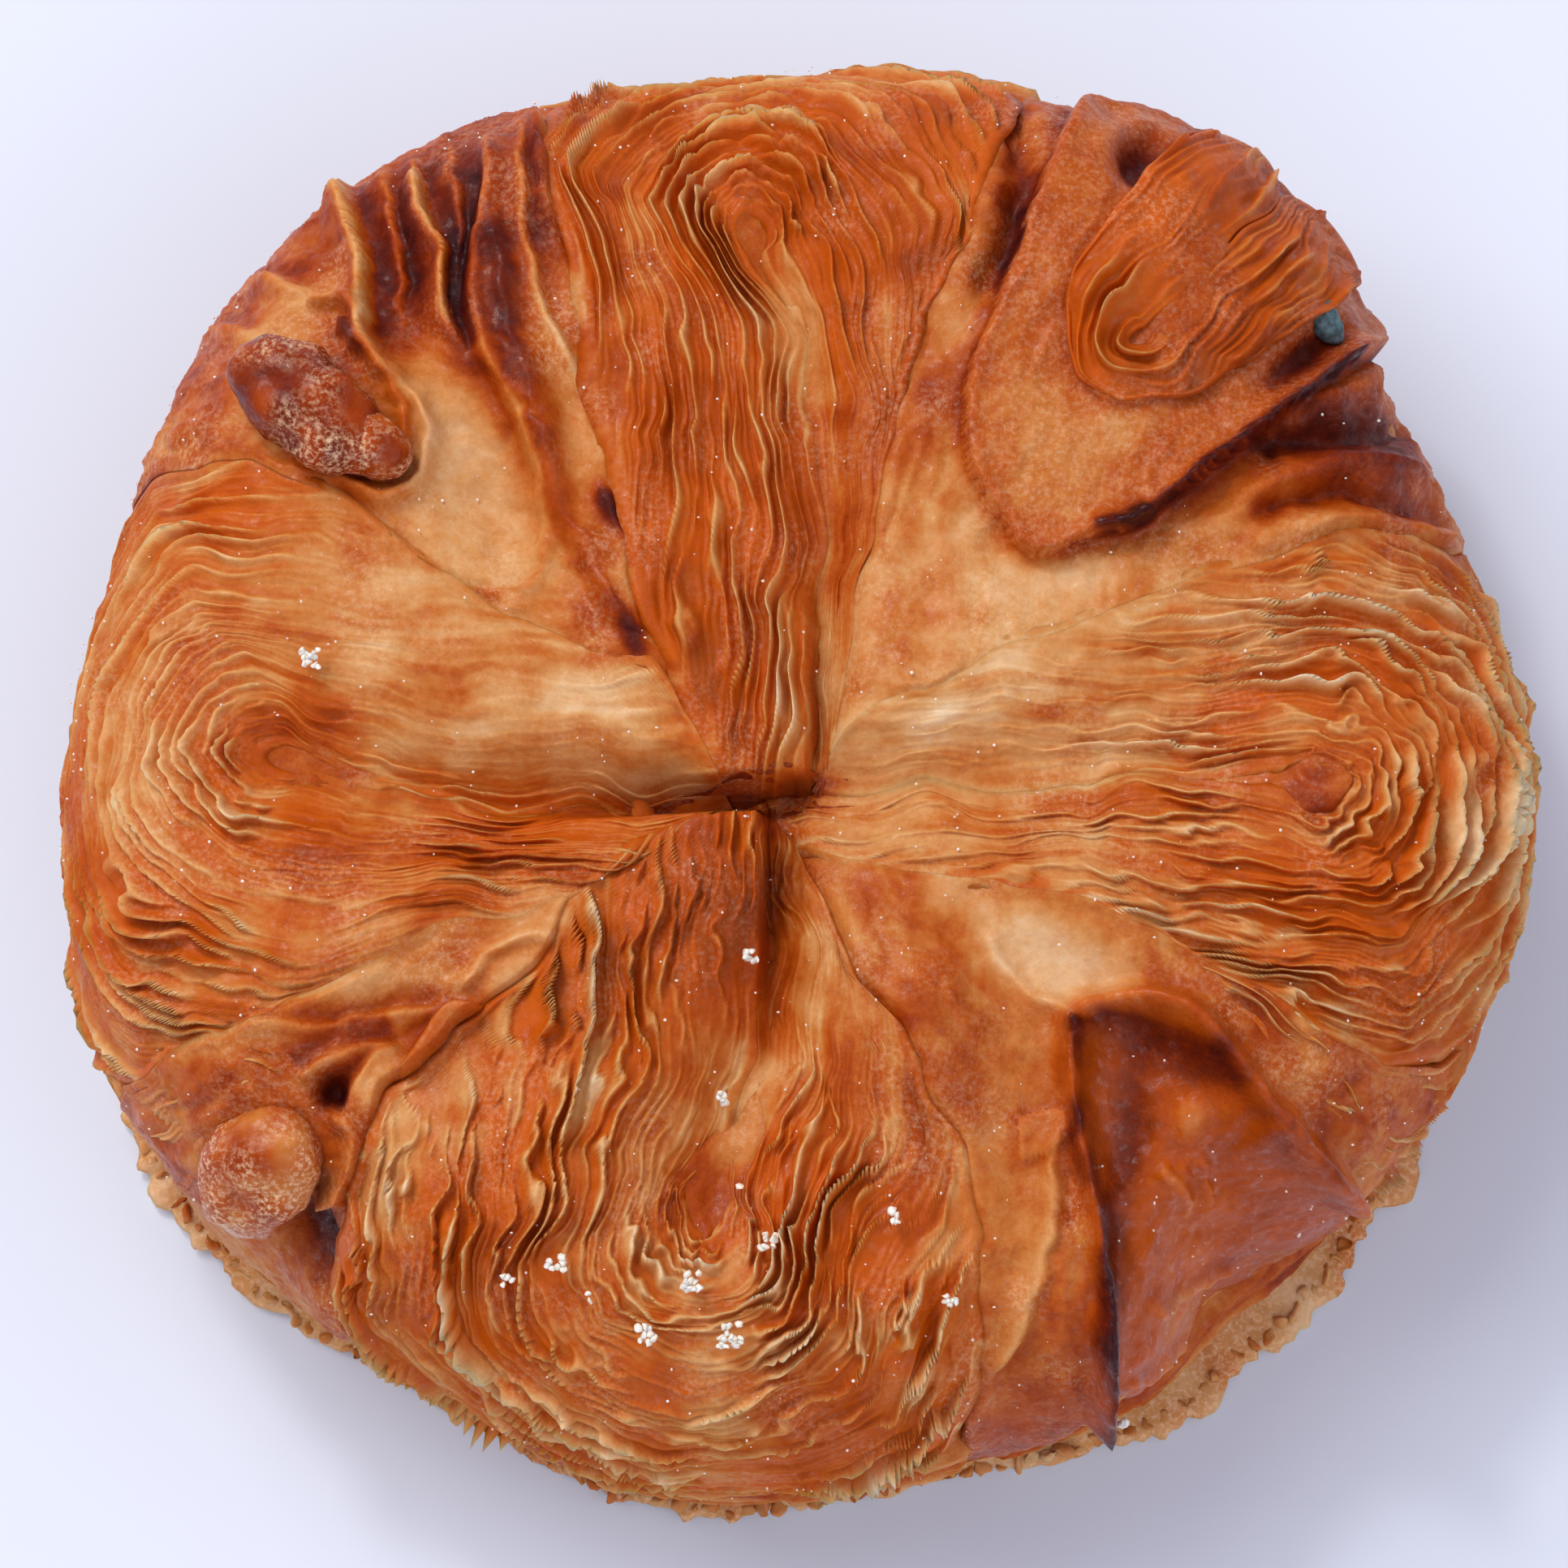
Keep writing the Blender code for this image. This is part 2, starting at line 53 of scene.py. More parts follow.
Noises = tuple[tuple[float, float, int], ...]
SPLINE_STEPS = 24
WANDER_BROAD = (0.75, 4.6, (61, 62))
WANDER_NARROW = (0.22, 1.8, (63, 64))
RIDGE_WOBBLE = (0.28, 1.6, (91, 93))
GLOSS_WEIGHT = 0.8


# Helpers for colour, node trees and meshes


def linear(hex_colour: str) -> tuple[float, float, float, float]:
    """Turn an sRGB hex colour to linear.

    Args:
        hex_colour: Six hex digits after a hash.

    Returns:
        Red, green, blue and an alpha of one.
    """
    values = [int(hex_colour[i:i + 2], 16) / 255 for i in (1, 3, 5)]
    bent = [v / 12.92 if v <= 0.04045 else ((v + 0.055) / 1.055) ** 2.4 for v in values]
    return (bent[0], bent[1], bent[2], 1.0)


def add_node(tree: bpy.types.NodeTree, kind: str, settings: dict | None = None,
             links: dict | None = None) -> bpy.types.Node:
    """Add a node with its settings and its incoming links.

    Args:
        tree: Shader or geometry node tree.
        kind: Node type name.
        settings: Values for sockets (by name or index) and for attributes of the node.
        links: Output sockets that feed this node's inputs, by input name or index.

    Returns:
        The new node.
    """
    node = tree.nodes.new(kind)
    attributes = {k: v for k, v in (settings or {}).items() if isinstance(k, str) and hasattr(node, k)}
    for key, value in attributes.items():
        setattr(node, key, value)
    for key, value in (settings or {}).items():
        if key not in attributes:
            node.inputs[key].default_value = value
    for key, source in (links or {}).items():
        tree.links.new(source, node.inputs[key])
    return node


def new_material(name: str, settings: dict) -> tuple[bpy.types.Material, bpy.types.NodeTree, bpy.types.Node]:
    """Start a material on a Principled shader.

    Args:
        name: Name of the real finish.
        settings: Values for the shader's inputs.

    Returns:
        The material, its tree and its shader.
    """
    material = bpy.data.materials.new(name)
    material.use_nodes = True
    shader = material.node_tree.nodes["Principled BSDF"]
    for key, value in settings.items():
        shader.inputs[key].default_value = value
    return material, material.node_tree, shader


def set_stops(ramp: bpy.types.Node, stops: tuple[tuple[float, str], ...]) -> bpy.types.NodeSocket:
    """Put places and hex colours on a colour ramp.

    Args:
        ramp: The ramp's node.
        stops: Place and colour of each stop.

    Returns:
        The ramp's colour output.
    """
    elements = ramp.color_ramp.elements
    while len(elements) < len(stops):
        elements.new(0.5)
    for element, (place, colour) in zip(elements, stops):
        element.position = place
        element.color = linear(colour)
    return ramp.outputs["Color"]


def smooth_step(value: np.ndarray) -> np.ndarray:
    """Ease from nought to one."""
    value = np.clip(value, 0.0, 1.0)
    return value * value * (3.0 - 2.0 * value)


def spline(points: Pairs, fractions: np.ndarray) -> np.ndarray:
    """Smooth curve through points, read at fractions of its length.

    Args:
        points: Control points of any dimension.
        fractions: Places along the curve, 0 to 1.

    Returns:
        One point for each fraction.
    """
    control = np.asarray(points, float)
    padded = np.vstack([2 * control[0] - control[1], control, 2 * control[-1] - control[-2]])
    f = (np.arange(SPLINE_STEPS) / SPLINE_STEPS)[:, None]
    dense = [b + 0.5 * f * (c - a + f * (2 * a - 5 * b + 4 * c - d + f * (3 * (b - c) + d - a)))
             for a, b, c, d in zip(padded, padded[1:], padded[2:], padded[3:])]
    line = np.vstack(dense + [control[-1:]])
    run = np.concatenate([[0.0], np.cumsum(np.linalg.norm(np.diff(line[:, :2], axis=0), axis=1))])
    return np.stack([np.interp(fractions, run / run[-1], line[:, k]) for k in range(line.shape[1])], axis=-1)


def lattice_noise(place: np.ndarray, cell: float, seed: int) -> np.ndarray:
    """Value noise between -1 and 1 over places in space.

    Args:
        place: Array whose last axis holds coordinates.
        cell: Size of a lattice cell in the same unit.
        seed: Picks the pattern.

    Returns:
        Noise value for each place.
    """
    table = np.random.default_rng(seed).uniform(-1, 1, (32, 32, 32))
    grid = place / cell
    low = np.floor(grid).astype(int)
    ease = smooth_step(grid - low)
    total = np.zeros(place.shape[:-1])
    third = place.shape[-1] > 2
    for dx in (0, 1):
        for dy in (0, 1):
            for dz in (0, 1) if third else (0,):
                weight = np.abs(1 - dx - ease[..., 0]) * np.abs(1 - dy - ease[..., 1])
                z = low[..., 2] + dz if third else low[..., 0] * 0
                weight = weight * np.abs(1 - dz - ease[..., 2]) if third else weight
                total += weight * table[(low[..., 0] + dx) % 32, (low[..., 1] + dy) % 32, z % 32]
    return total


def wander(plan: np.ndarray, amount: float, cell: float, seeds: tuple[int, int]) -> np.ndarray:
    """Random shift of plan points, with one seed for each direction."""
    return amount * np.stack([lattice_noise(plan, cell, seed) for seed in seeds], axis=-1)


def noise_sum(place: np.ndarray, noises: Noises, seed: int = 0) -> np.ndarray:
    """Add up noises over the same places.

    Args:
        place: Array whose last axis holds coordinates.
        noises: Amount, cell size and seed of each noise.
        seed: Number added to every seed.

    Returns:
        Sum for each place.
    """
    return sum(amount * lattice_noise(place, cell, seed + own) for amount, cell, own in noises)


def meander(plan: np.ndarray) -> np.ndarray:
    """Shift plan points by up to a millimetre, so that edges and sheets wander the same way side by side."""
    return plan + wander(plan, *WANDER_BROAD) + wander(plan, *WANDER_NARROW)


def inside(plan: np.ndarray, ring: np.ndarray) -> np.ndarray:
    """Tell which plan points lie inside a closed ring.

    Args:
        plan: Points, last axis two.
        ring: Corners of the ring.

    Returns:
        Boolean for each point.
    """
    x, y = plan[..., 0], plan[..., 1]
    held = np.zeros(x.shape, bool)
    for (ax, ay), (bx, by) in zip(ring, np.roll(ring, -1, axis=0)):
        crosses = (ay > y) != (by > y)
        held ^= crosses & (x < (bx - ax) * (y - ay) / (by - ay + 1e-12) + ax)
    return held


def path_distance(plan: np.ndarray, path: np.ndarray) -> tuple[np.ndarray, np.ndarray]:
    """Measure plan points against a path.

    Args:
        plan: Points, last axis two.
        path: Corners of the path.

    Returns:
        Distance to the path, positive on its left, and the share of its length at the nearest place.
    """
    path = np.asarray(path, float)
    legs = np.linalg.norm(np.diff(path, axis=0), axis=1)
    starts = np.concatenate([[0.0], np.cumsum(legs)])
    best = np.full(plan.shape[:-1], 1e9)
    along = np.zeros(plan.shape[:-1])
    side = np.ones(plan.shape[:-1])
    for i, leg in enumerate(legs):
        if leg < 1e-9:
            continue
        direction = (path[i + 1] - path[i]) / leg
        offset = plan - path[i]
        run = np.clip(offset @ direction, 0.0, leg)
        gap = np.linalg.norm(offset - run[..., None] * direction, axis=-1)
        nearer = gap < best
        best = np.where(nearer, gap, best)
        along = np.where(nearer, (starts[i] + run) / starts[-1], along)
        left = direction[0] * offset[..., 1] - direction[1] * offset[..., 0]
        side = np.where(nearer, np.where(left < 0.0, -1.0, 1.0), side)
    return best * side, along


def linked(name: str, data: bpy.types.ID) -> bpy.types.Object:
    """Put an object with this data in the scene.

    Args:
        name: Object name.
        data: Mesh, light or camera.

    Returns:
        The linked object.
    """
    item = bpy.data.objects.new(name, data)
    bpy.context.scene.collection.objects.link(item)
    return item


def set_tones(data: bpy.types.Mesh, tones: dict[str, np.ndarray]) -> None:
    """Store values that the finish reads.

    Args:
        data: Mesh that gets them.
        tones: Named values, one for each vertex.
    """
    for key, values in tones.items():
        layer = data.attributes.new(key, "FLOAT", "POINT")
        layer.data.foreach_set("value", np.asarray(values, np.float32))


def mesh_object(name: str, points: np.ndarray, faces: list, tones: dict[str, np.ndarray],
                material: bpy.types.Material) -> bpy.types.Object:
    """Make a smooth object of closed shells whose faces point out.

    Args:
        name: Object name.
        points: Vertices in millimetres.
        faces: Vertex numbers of each face.
        tones: Named values, one for each vertex, that the finish reads.
        material: Finish of the piece.

    Returns:
        The linked object.
    """
    data = bpy.data.meshes.new(name)
    data.from_pydata((points * MM).tolist(), [], faces)
    set_tones(data, tones)
    data.materials.append(material)
    data.shade_smooth()
    data.validate()
    shells = bmesh.new()
    shells.from_mesh(data)
    bmesh.ops.recalc_face_normals(shells, faces=shells.faces[:])
    shells.to_mesh(data)
    shells.free()
    LOG.info("%s: %d faces", name, len(data.polygons))
    return linked(name, data)


def ring_faces(first: int, second: int, size: int) -> list:
    """Faces between two closed rings.

    Args:
        first: Vertex number that the first ring starts at.
        second: Vertex number that the second ring starts at.
        size: Vertices in a ring.

    Returns:
        One four-sided face for each vertex of a ring.
    """
    k = np.arange(size)
    n = (k + 1) % size
    return np.stack([first + k, second + k, second + n, first + n], axis=1).tolist()


def tube_faces(rings: int, size: int) -> list:
    """Faces of a closed tube through rings of equal size, with both ends capped.

    Args:
        rings: Number of rings.
        size: Vertices in a ring.

    Returns:
        Faces of the tube.
    """
    faces = [face for r in range(rings - 1) for face in ring_faces(r * size, (r + 1) * size, size)]
    return faces + [list(range(size - 1, -1, -1)), list(range((rings - 1) * size, rings * size))]


def unit_ball(subdivisions: int) -> tuple[np.ndarray, np.ndarray]:
    """Make a ball of radius one.

    Args:
        subdivisions: Fineness, from one.

    Returns:
        Its vertices and triangles.
    """
    mesh = bmesh.new()
    bmesh.ops.create_icosphere(mesh, subdivisions=subdivisions, radius=1.0)
    corners = np.array([vertex.co[:] for vertex in mesh.verts])
    faces = np.array([[vertex.index for vertex in face.verts] for face in mesh.faces])
    mesh.free()
    return corners, faces


# Finishes


@dataclass(frozen=True)
class BakedDough:
    """Laminated butter dough, baked: dry paper-thin edges, satin skins, glossy sugar.

    The tone attribute runs from pale crumb at nought to near-black caramel at one, and it
    also carries painted shade in gaps, grooves, creases, hollows and under edges. Gloss runs
    from dry to glazed. Butter dough scatters light a millimetre deep, which warms thin edges.
    Warm paints in the deep orange of light that comes through the thin sheets into the gaps
    between them, and on glazed skin it is the amber of the caramel.
    Pale sugar specks lie where frost says so.
    """

    name: str
    tones: tuple[tuple[float, str], ...] = (
        (0.00, "#E8CDAC"), (0.18, "#DCB184"), (0.34, "#CE9258"), (0.48, "#C07233"),
        (0.60, "#AF5013"), (0.72, "#953402"), (0.84, "#6C1D05"), (1.00, "#36090A"))
    warm_colour: str = "#C95A08"
    frost_colour: str = "#E9BE97"
    mottle: float = 0.34
    roughness: tuple[float, float] = (0.5, 0.22)
    bump_mm: float = 0.11
    speck_range: tuple[float, float] = (0.46, 0.66)
    bead_range: tuple[float, float] = (0.54, 0.66)
    # Waves a metre, detail and roughness of each pattern. Browning drifts over 2 to 3 mm and
    # blisters of 0.6 mm darken unevenly in it. Beads of glaze are 0.7 mm apart, the grain of
    # the crust 0.5 mm and specks of sugar 0.4 mm.
    patterns: Pairs = ((420.0, 5.0, 0.65), (1700.0, 4.0, 0.7), (1400.0, 3.0, 0.6),
                       (2000.0, 4.0, 0.65), (2600.0, 4.0, 0.7))

    def make(self) -> bpy.types.Material:
        """Build the material.

        Returns:
            The finished material.
        """
        material, tree, shader = new_material(self.name, {
            "Coat Roughness": 0.14, "IOR": 1.45, "Specular IOR Level": 0.14, "Subsurface Weight": 0.3,
            "Subsurface Radius": (1.0, 0.5, 0.2), "Subsurface Scale": 0.0012})
        where = add_node(tree, "ShaderNodeTexCoord").outputs["Object"]
        tone, gloss, warm, frost = (
            add_node(tree, "ShaderNodeAttribute", {"attribute_name": key}).outputs["Fac"]
            for key in ("tone", "gloss", "warm", "frost"))
        broad, fine, beads, grain, specks = (
            add_node(tree, "ShaderNodeTexNoise", {"Scale": scale, "Detail": detail, "Roughness": rough},
                     {"Vector": where}).outputs["Fac"]
            for scale, detail, rough in self.patterns)
        mixed = add_node(tree, "ShaderNodeMath", {"operation": "MULTIPLY_ADD", 1: 0.6}, {0: fine, 2: broad})
        shift = add_node(tree, "ShaderNodeMath", {"operation": "MULTIPLY_ADD", 1: self.mottle,
                                                  2: -0.8 * self.mottle}, {0: mixed.outputs[0]})
        toned = add_node(tree, "ShaderNodeMath", {"operation": "ADD"}, {0: tone, 1: shift.outputs[0]})
        browned = set_stops(add_node(tree, "ShaderNodeValToRGB", {}, {"Fac": toned.outputs[0]}), self.tones)
        lit = add_node(tree, "ShaderNodeMix", {"data_type": "RGBA", 7: linear(self.warm_colour)},
                       {0: warm, 6: browned}).outputs[2]
        low, high = self.speck_range
        speck = add_node(tree, "ShaderNodeMapRange", {"From Min": low, "From Max": high, "To Min": 0.0},
                         {"Value": specks, "To Max": frost}).outputs["Result"]
        frosted = add_node(tree, "ShaderNodeMix", {"data_type": "RGBA", 7: linear(self.frost_colour)},
                           {0: speck, 6: lit}).outputs[2]
        dry, glazed = self.roughness
        rough = add_node(tree, "ShaderNodeMapRange", {"From Min": 0.0, "From Max": 1.0, "To Min": dry,
                                                      "To Max": glazed}, {"Value": gloss}).outputs["Result"]
        uneven = add_node(tree, "ShaderNodeMath", {"operation": "MULTIPLY_ADD", 1: 0.5, 2: -0.25}, {0: fine})
        total = add_node(tree, "ShaderNodeMath", {"operation": "ADD", "use_clamp": True},
                         {0: rough, 1: uneven.outputs[0]}).outputs[0]
        # More beads of glaze shine on the crust where it is glazed.
        glazing = add_node(tree, "ShaderNodeMath", {"operation": "MULTIPLY_ADD", 1: 0.35, 2: 0.3}, {0: gloss})
        low, high = self.bead_range
        bead = add_node(tree, "ShaderNodeMapRange", {"From Min": low, "From Max": high},
                        {"Value": beads, "To Max": glazing.outputs[0]}).outputs["Result"]
        coat = add_node(tree, "ShaderNodeMath", {"operation": "MULTIPLY_ADD", 1: 0.12, "use_clamp": True},
                        {0: gloss, 2: bead}).outputs[0]
        bump = add_node(tree, "ShaderNodeBump", {"Strength": 0.7, "Distance": self.bump_mm * MM},
                        {"Height": grain}).outputs["Normal"]
        for key, source in {"Base Color": frosted, "Roughness": total, "Coat Weight": coat, "Normal": bump,
                            "Coat Normal": bump}.items():
            tree.links.new(source, shader.inputs[key])
        return material


@dataclass(frozen=True)
class CoarseSugar:
    """Coarse white sugar: clear grains that clump and look milky white."""

    name: str = "coarse_sugar_grains"
    colours: tuple[tuple[float, str], ...] = ((0.0, "#FFFAF2"), (1.0, "#F0DCC4"))
    facets: float = 2200.0

    def make(self) -> bpy.types.Material:
        """Build the material.

        Returns:
            The finished material.
        """
        material, tree, shader = new_material(self.name, {
            "Roughness": 0.28, "IOR": 1.54, "Subsurface Weight": 0.5, "Subsurface Radius": (1.0, 0.9, 0.8),
            "Subsurface Scale": 0.0006})
        where = add_node(tree, "ShaderNodeTexCoord").outputs["Object"]
        # Grain faces of about 0.45 mm catch the light one by one.
        cells = add_node(tree, "ShaderNodeTexVoronoi", {"Scale": self.facets}, {"Vector": where})
        facet = cells.outputs["Distance"]
        ramp = add_node(tree, "ShaderNodeValToRGB", {}, {"Fac": facet})
        bump = add_node(tree, "ShaderNodeBump", {"Strength": 0.4, "Distance": 0.0001}, {"Height": facet})
        tree.links.new(set_stops(ramp, self.colours), shader.inputs["Base Color"])
        tree.links.new(bump.outputs["Normal"], shader.inputs["Normal"])
        return material


@dataclass(frozen=True)
class GreyScrap:
    """Dull blue-grey scrap baked into the edge of a fold, uneven over half a millimetre."""

    name: str = "blue_grey_scrap"
    colours: tuple[tuple[float, str], ...] = ((0.35, "#2E3F46"), (0.7, "#5F7C84"))
    spots: float = 1800.0

    def make(self) -> bpy.types.Material:
        """Build the material.

        Returns:
            The finished material.
        """
        material, tree, shader = new_material(self.name, {"Roughness": 0.6})
        where = add_node(tree, "ShaderNodeTexCoord").outputs["Object"]
        spots = add_node(tree, "ShaderNodeTexNoise", {"Scale": self.spots, "Detail": 3.0}, {"Vector": where})
        ramp = add_node(tree, "ShaderNodeValToRGB", {}, {"Fac": spots.outputs["Fac"]})
        tree.links.new(set_stops(ramp, self.colours), shader.inputs["Base Color"])
        return material


@dataclass(frozen=True)
class PaleBoard:
    """Pale lavender-white card that the cake is shown on."""

    name: str = "pale_card"
    colour: str = "#DDE2F0"

    def make(self) -> bpy.types.Material:
        """Build the material."""
        return new_material(self.name, {"Base Color": linear(self.colour), "Roughness": 0.9,
                                        "Specular IOR Level": 0.1})[0]


# Form of the cake


@dataclass(frozen=True)
class Patch:
    """Browned or pale place on the plan, with how smooth and how glazed it is."""

    name: str
    u: float
    v: float
    half_length: float
    half_width: float
    turn: float
    tone: float
    weight: float = 0.9
    calm: float = 0.0
    gloss: float = 0.0
    rise: float = 0.0

    def share(self, plan: np.ndarray) -> np.ndarray:
        """Tell how far plan points belong to the patch.

        Args:
            plan: Points, last axis two.

        Returns:
            Share of each point, 0 to 1.
        """
        angle = math.radians(self.turn)
        du, dv = plan[..., 0] - self.u, plan[..., 1] - self.v
        along = du * math.cos(angle) + dv * math.sin(angle)
        across = -du * math.sin(angle) + dv * math.cos(angle)
        reach = (along / self.half_length) ** 2 + (across / self.half_width) ** 2
        return np.exp(-0.9 * reach ** 1.5)

    def apply(self, skin: "SkinField") -> None:
        """Work the patch into a field of skin.

        Args:
            skin: Field of skin that it changes.
        """
        share = self.share(skin.plan)
        skin.lift += self.rise * share
        skin.tone += (self.tone - skin.tone) * share * self.weight
        skin.gloss += (self.gloss - skin.gloss) * share * GLOSS_WEIGHT


PATCHES = (
    Patch("north_left_band", -7.3, 17.0, 16.0, 4.0, 100, 0.64, 0.5),
    Patch("north_arcs", -1.0, 44.0, 12.0, 5.0, 0, 0.68, 0.6),
    Patch("north_right_soft", 4.4, 16.0, 17.0, 2.4, 84, 0.48, 0.7, 0.9),
    Patch("north_hollow", 0.3, 27.5, 5.0, 1.8, 98, 0.34, 1.0, 0.9),
    Patch("north_low_strip", 2.8, 4.6, 6.0, 1.5, 95, 0.36, 0.9, 0.95),
    Patch("north_east_pale", 10.2, 11.5, 11.0, 6.5, 60, 0.36, 0.85, 1.0),
    Patch("north_east_browned", 8.2, 19.5, 3.2, 2.0, 80, 0.62, 0.8, 0.6, 0.3),
    Patch("north_east_blister", 8.8, 9.0, 3.4, 1.8, 20, 0.57, 0.7, 0.6, 0.4),
    Patch("north_east_low", 19.5, 8.6, 9.0, 2.6, 28, 0.34, 0.85, 0.6),
    Patch("east_upper_soft", 15.0, 1.8, 16.0, 4.6, 14, 0.3, 0.85, 0.93),
    Patch("east_band", 12.0, -2.6, 14.0, 3.0, -2, 0.42, 0.9, 0.97),
    Patch("east_lower_soft", 14.0, -7.0, 13.0, 2.8, -13, 0.42, 0.8, 0.85),
    Patch("east_upper_wide", 20.0, 6.0, 13.0, 4.0, 18, 0.42, 0.4, 0.75),
    Patch("west_upper_wide", -27.0, 7.5, 13.0, 5.5, -24, 0.38, 0.6, 0.72),
    Patch("north_east_mound", 7.0, -17.5, 7.5, 3.2, -70, 0.6, 0.5, 0.9),
    Patch("east_streak", 24.0, 3.4, 9.0, 0.9, 16, 0.6, 0.6),
    Patch("east_mound", 33.4, -3.0, 5.4, 4.4, 10, 0.64, 0.85, 0.75, 0.5),
    Patch("east_low_brown", 34.0, -13.5, 11.0, 5.0, -15, 0.64, 0.5),
    Patch("east_rim", 46.0, 0.0, 16.0, 7.0, 90, 0.6, 0.5),
    Patch("south_east_pale", 17.8, -15.2, 5.6, 2.4, -28, 0.22, 1.0, 1.0),
    Patch("south_east_mound", 8.4, -18.8, 7.0, 3.8, -68, 0.6, 0.85, 0.9, 0.4),
    Patch("south_east_skin", 15.6, -33.0, 15.0, 2.7, 88, 0.52, 0.9, 1.0, 0.1),
    Patch("south_right_soft", 2.4, -15.0, 9.0, 2.4, -76, 0.44, 0.8, 0.9),
    Patch("centre_pale", 7.0, -6.6, 7.0, 2.6, -10, 0.36, 0.85, 0.95),
    Patch("south_block", -4.6, -11.0, 9.0, 4.6, 86, 0.92, 0.8),
    Patch("south_eye", -5.6, -31.6, 3.4, 3.0, 20, 0.68, 0.9, 0.5, 0.5),
    Patch("south_throat", -2.4, -24.5, 3.6, 1.8, 65, 0.42, 0.9, 0.8),
    Patch("block_tip", -1.6, -5.4, 2.0, 1.4, 0, 0.84, 0.9, 0.9, 0.3),
    # Painted shade: darker tone along the creases.
    Patch("west_crease", -8.6, -4.5, 9.0, 0.9, 0, 0.9, 0.9, 0.6),
    Patch("centre_crease", 0.5, -3.2, 2.8, 0.8, 5, 0.9, 0.9, 0.6),
    Patch("west_upper_soft", -17.0, 2.8, 13.0, 5.2, -24, 0.44, 0.85, 0.9),
    Patch("west_pale", -13.0, 0.6, 7.0, 2.4, -20, 0.3, 0.9, 0.97),
    Patch("west_pale_low", -22.0, -0.6, 8.0, 1.9, -6, 0.4, 0.8, 0.9),
    Patch("west_streaks", -34.0, 10.5, 12.0, 4.0, -20, 0.44, 0.7, 0.4),
    Patch("west_arcs", -43.0, 0.0, 14.0, 7.0, 90, 0.46, 0.7, 0.2),
    Patch("west_eye", -33.0, -0.6, 4.5, 3.0, 15, 0.68, 0.7, 0.4),
    Patch("west_browned", -39.5, 4.5, 4.2, 3.0, 40, 0.62, 0.7, 0.2, 0.3),
    Patch("west_low_band", -26.0, -8.0, 14.0, 4.0, 0, 0.64, 0.5),
    Patch("north_west_flap", -22.0, 16.2, 8.4, 4.2, -54, 0.36, 1.0, 1.0),
    Patch("north_west_pocket", -14.4, 22.0, 7.0, 2.4, -72, 0.45, 0.95, 0.9),
    Patch("north_west_tip", -12.2, 14.9, 1.8, 1.0, -60, 0.9, 0.9),
    Patch("north_left_tip", -5.6, 4.4, 2.8, 0.9, -72, 0.88, 0.9),
    Patch("north_west_curtain", -25.0, 34.0, 10.0, 9.0, 0, 0.7, 0.8),
    Patch("south_west_pocket", -27.0, -14.8, 8.2, 2.8, 8, 0.5, 0.95, 0.9),
    Patch("south_west_pale_tip", -16.9, -12.6, 4.6, 2.0, 35, 0.4, 0.95, 0.8),
)


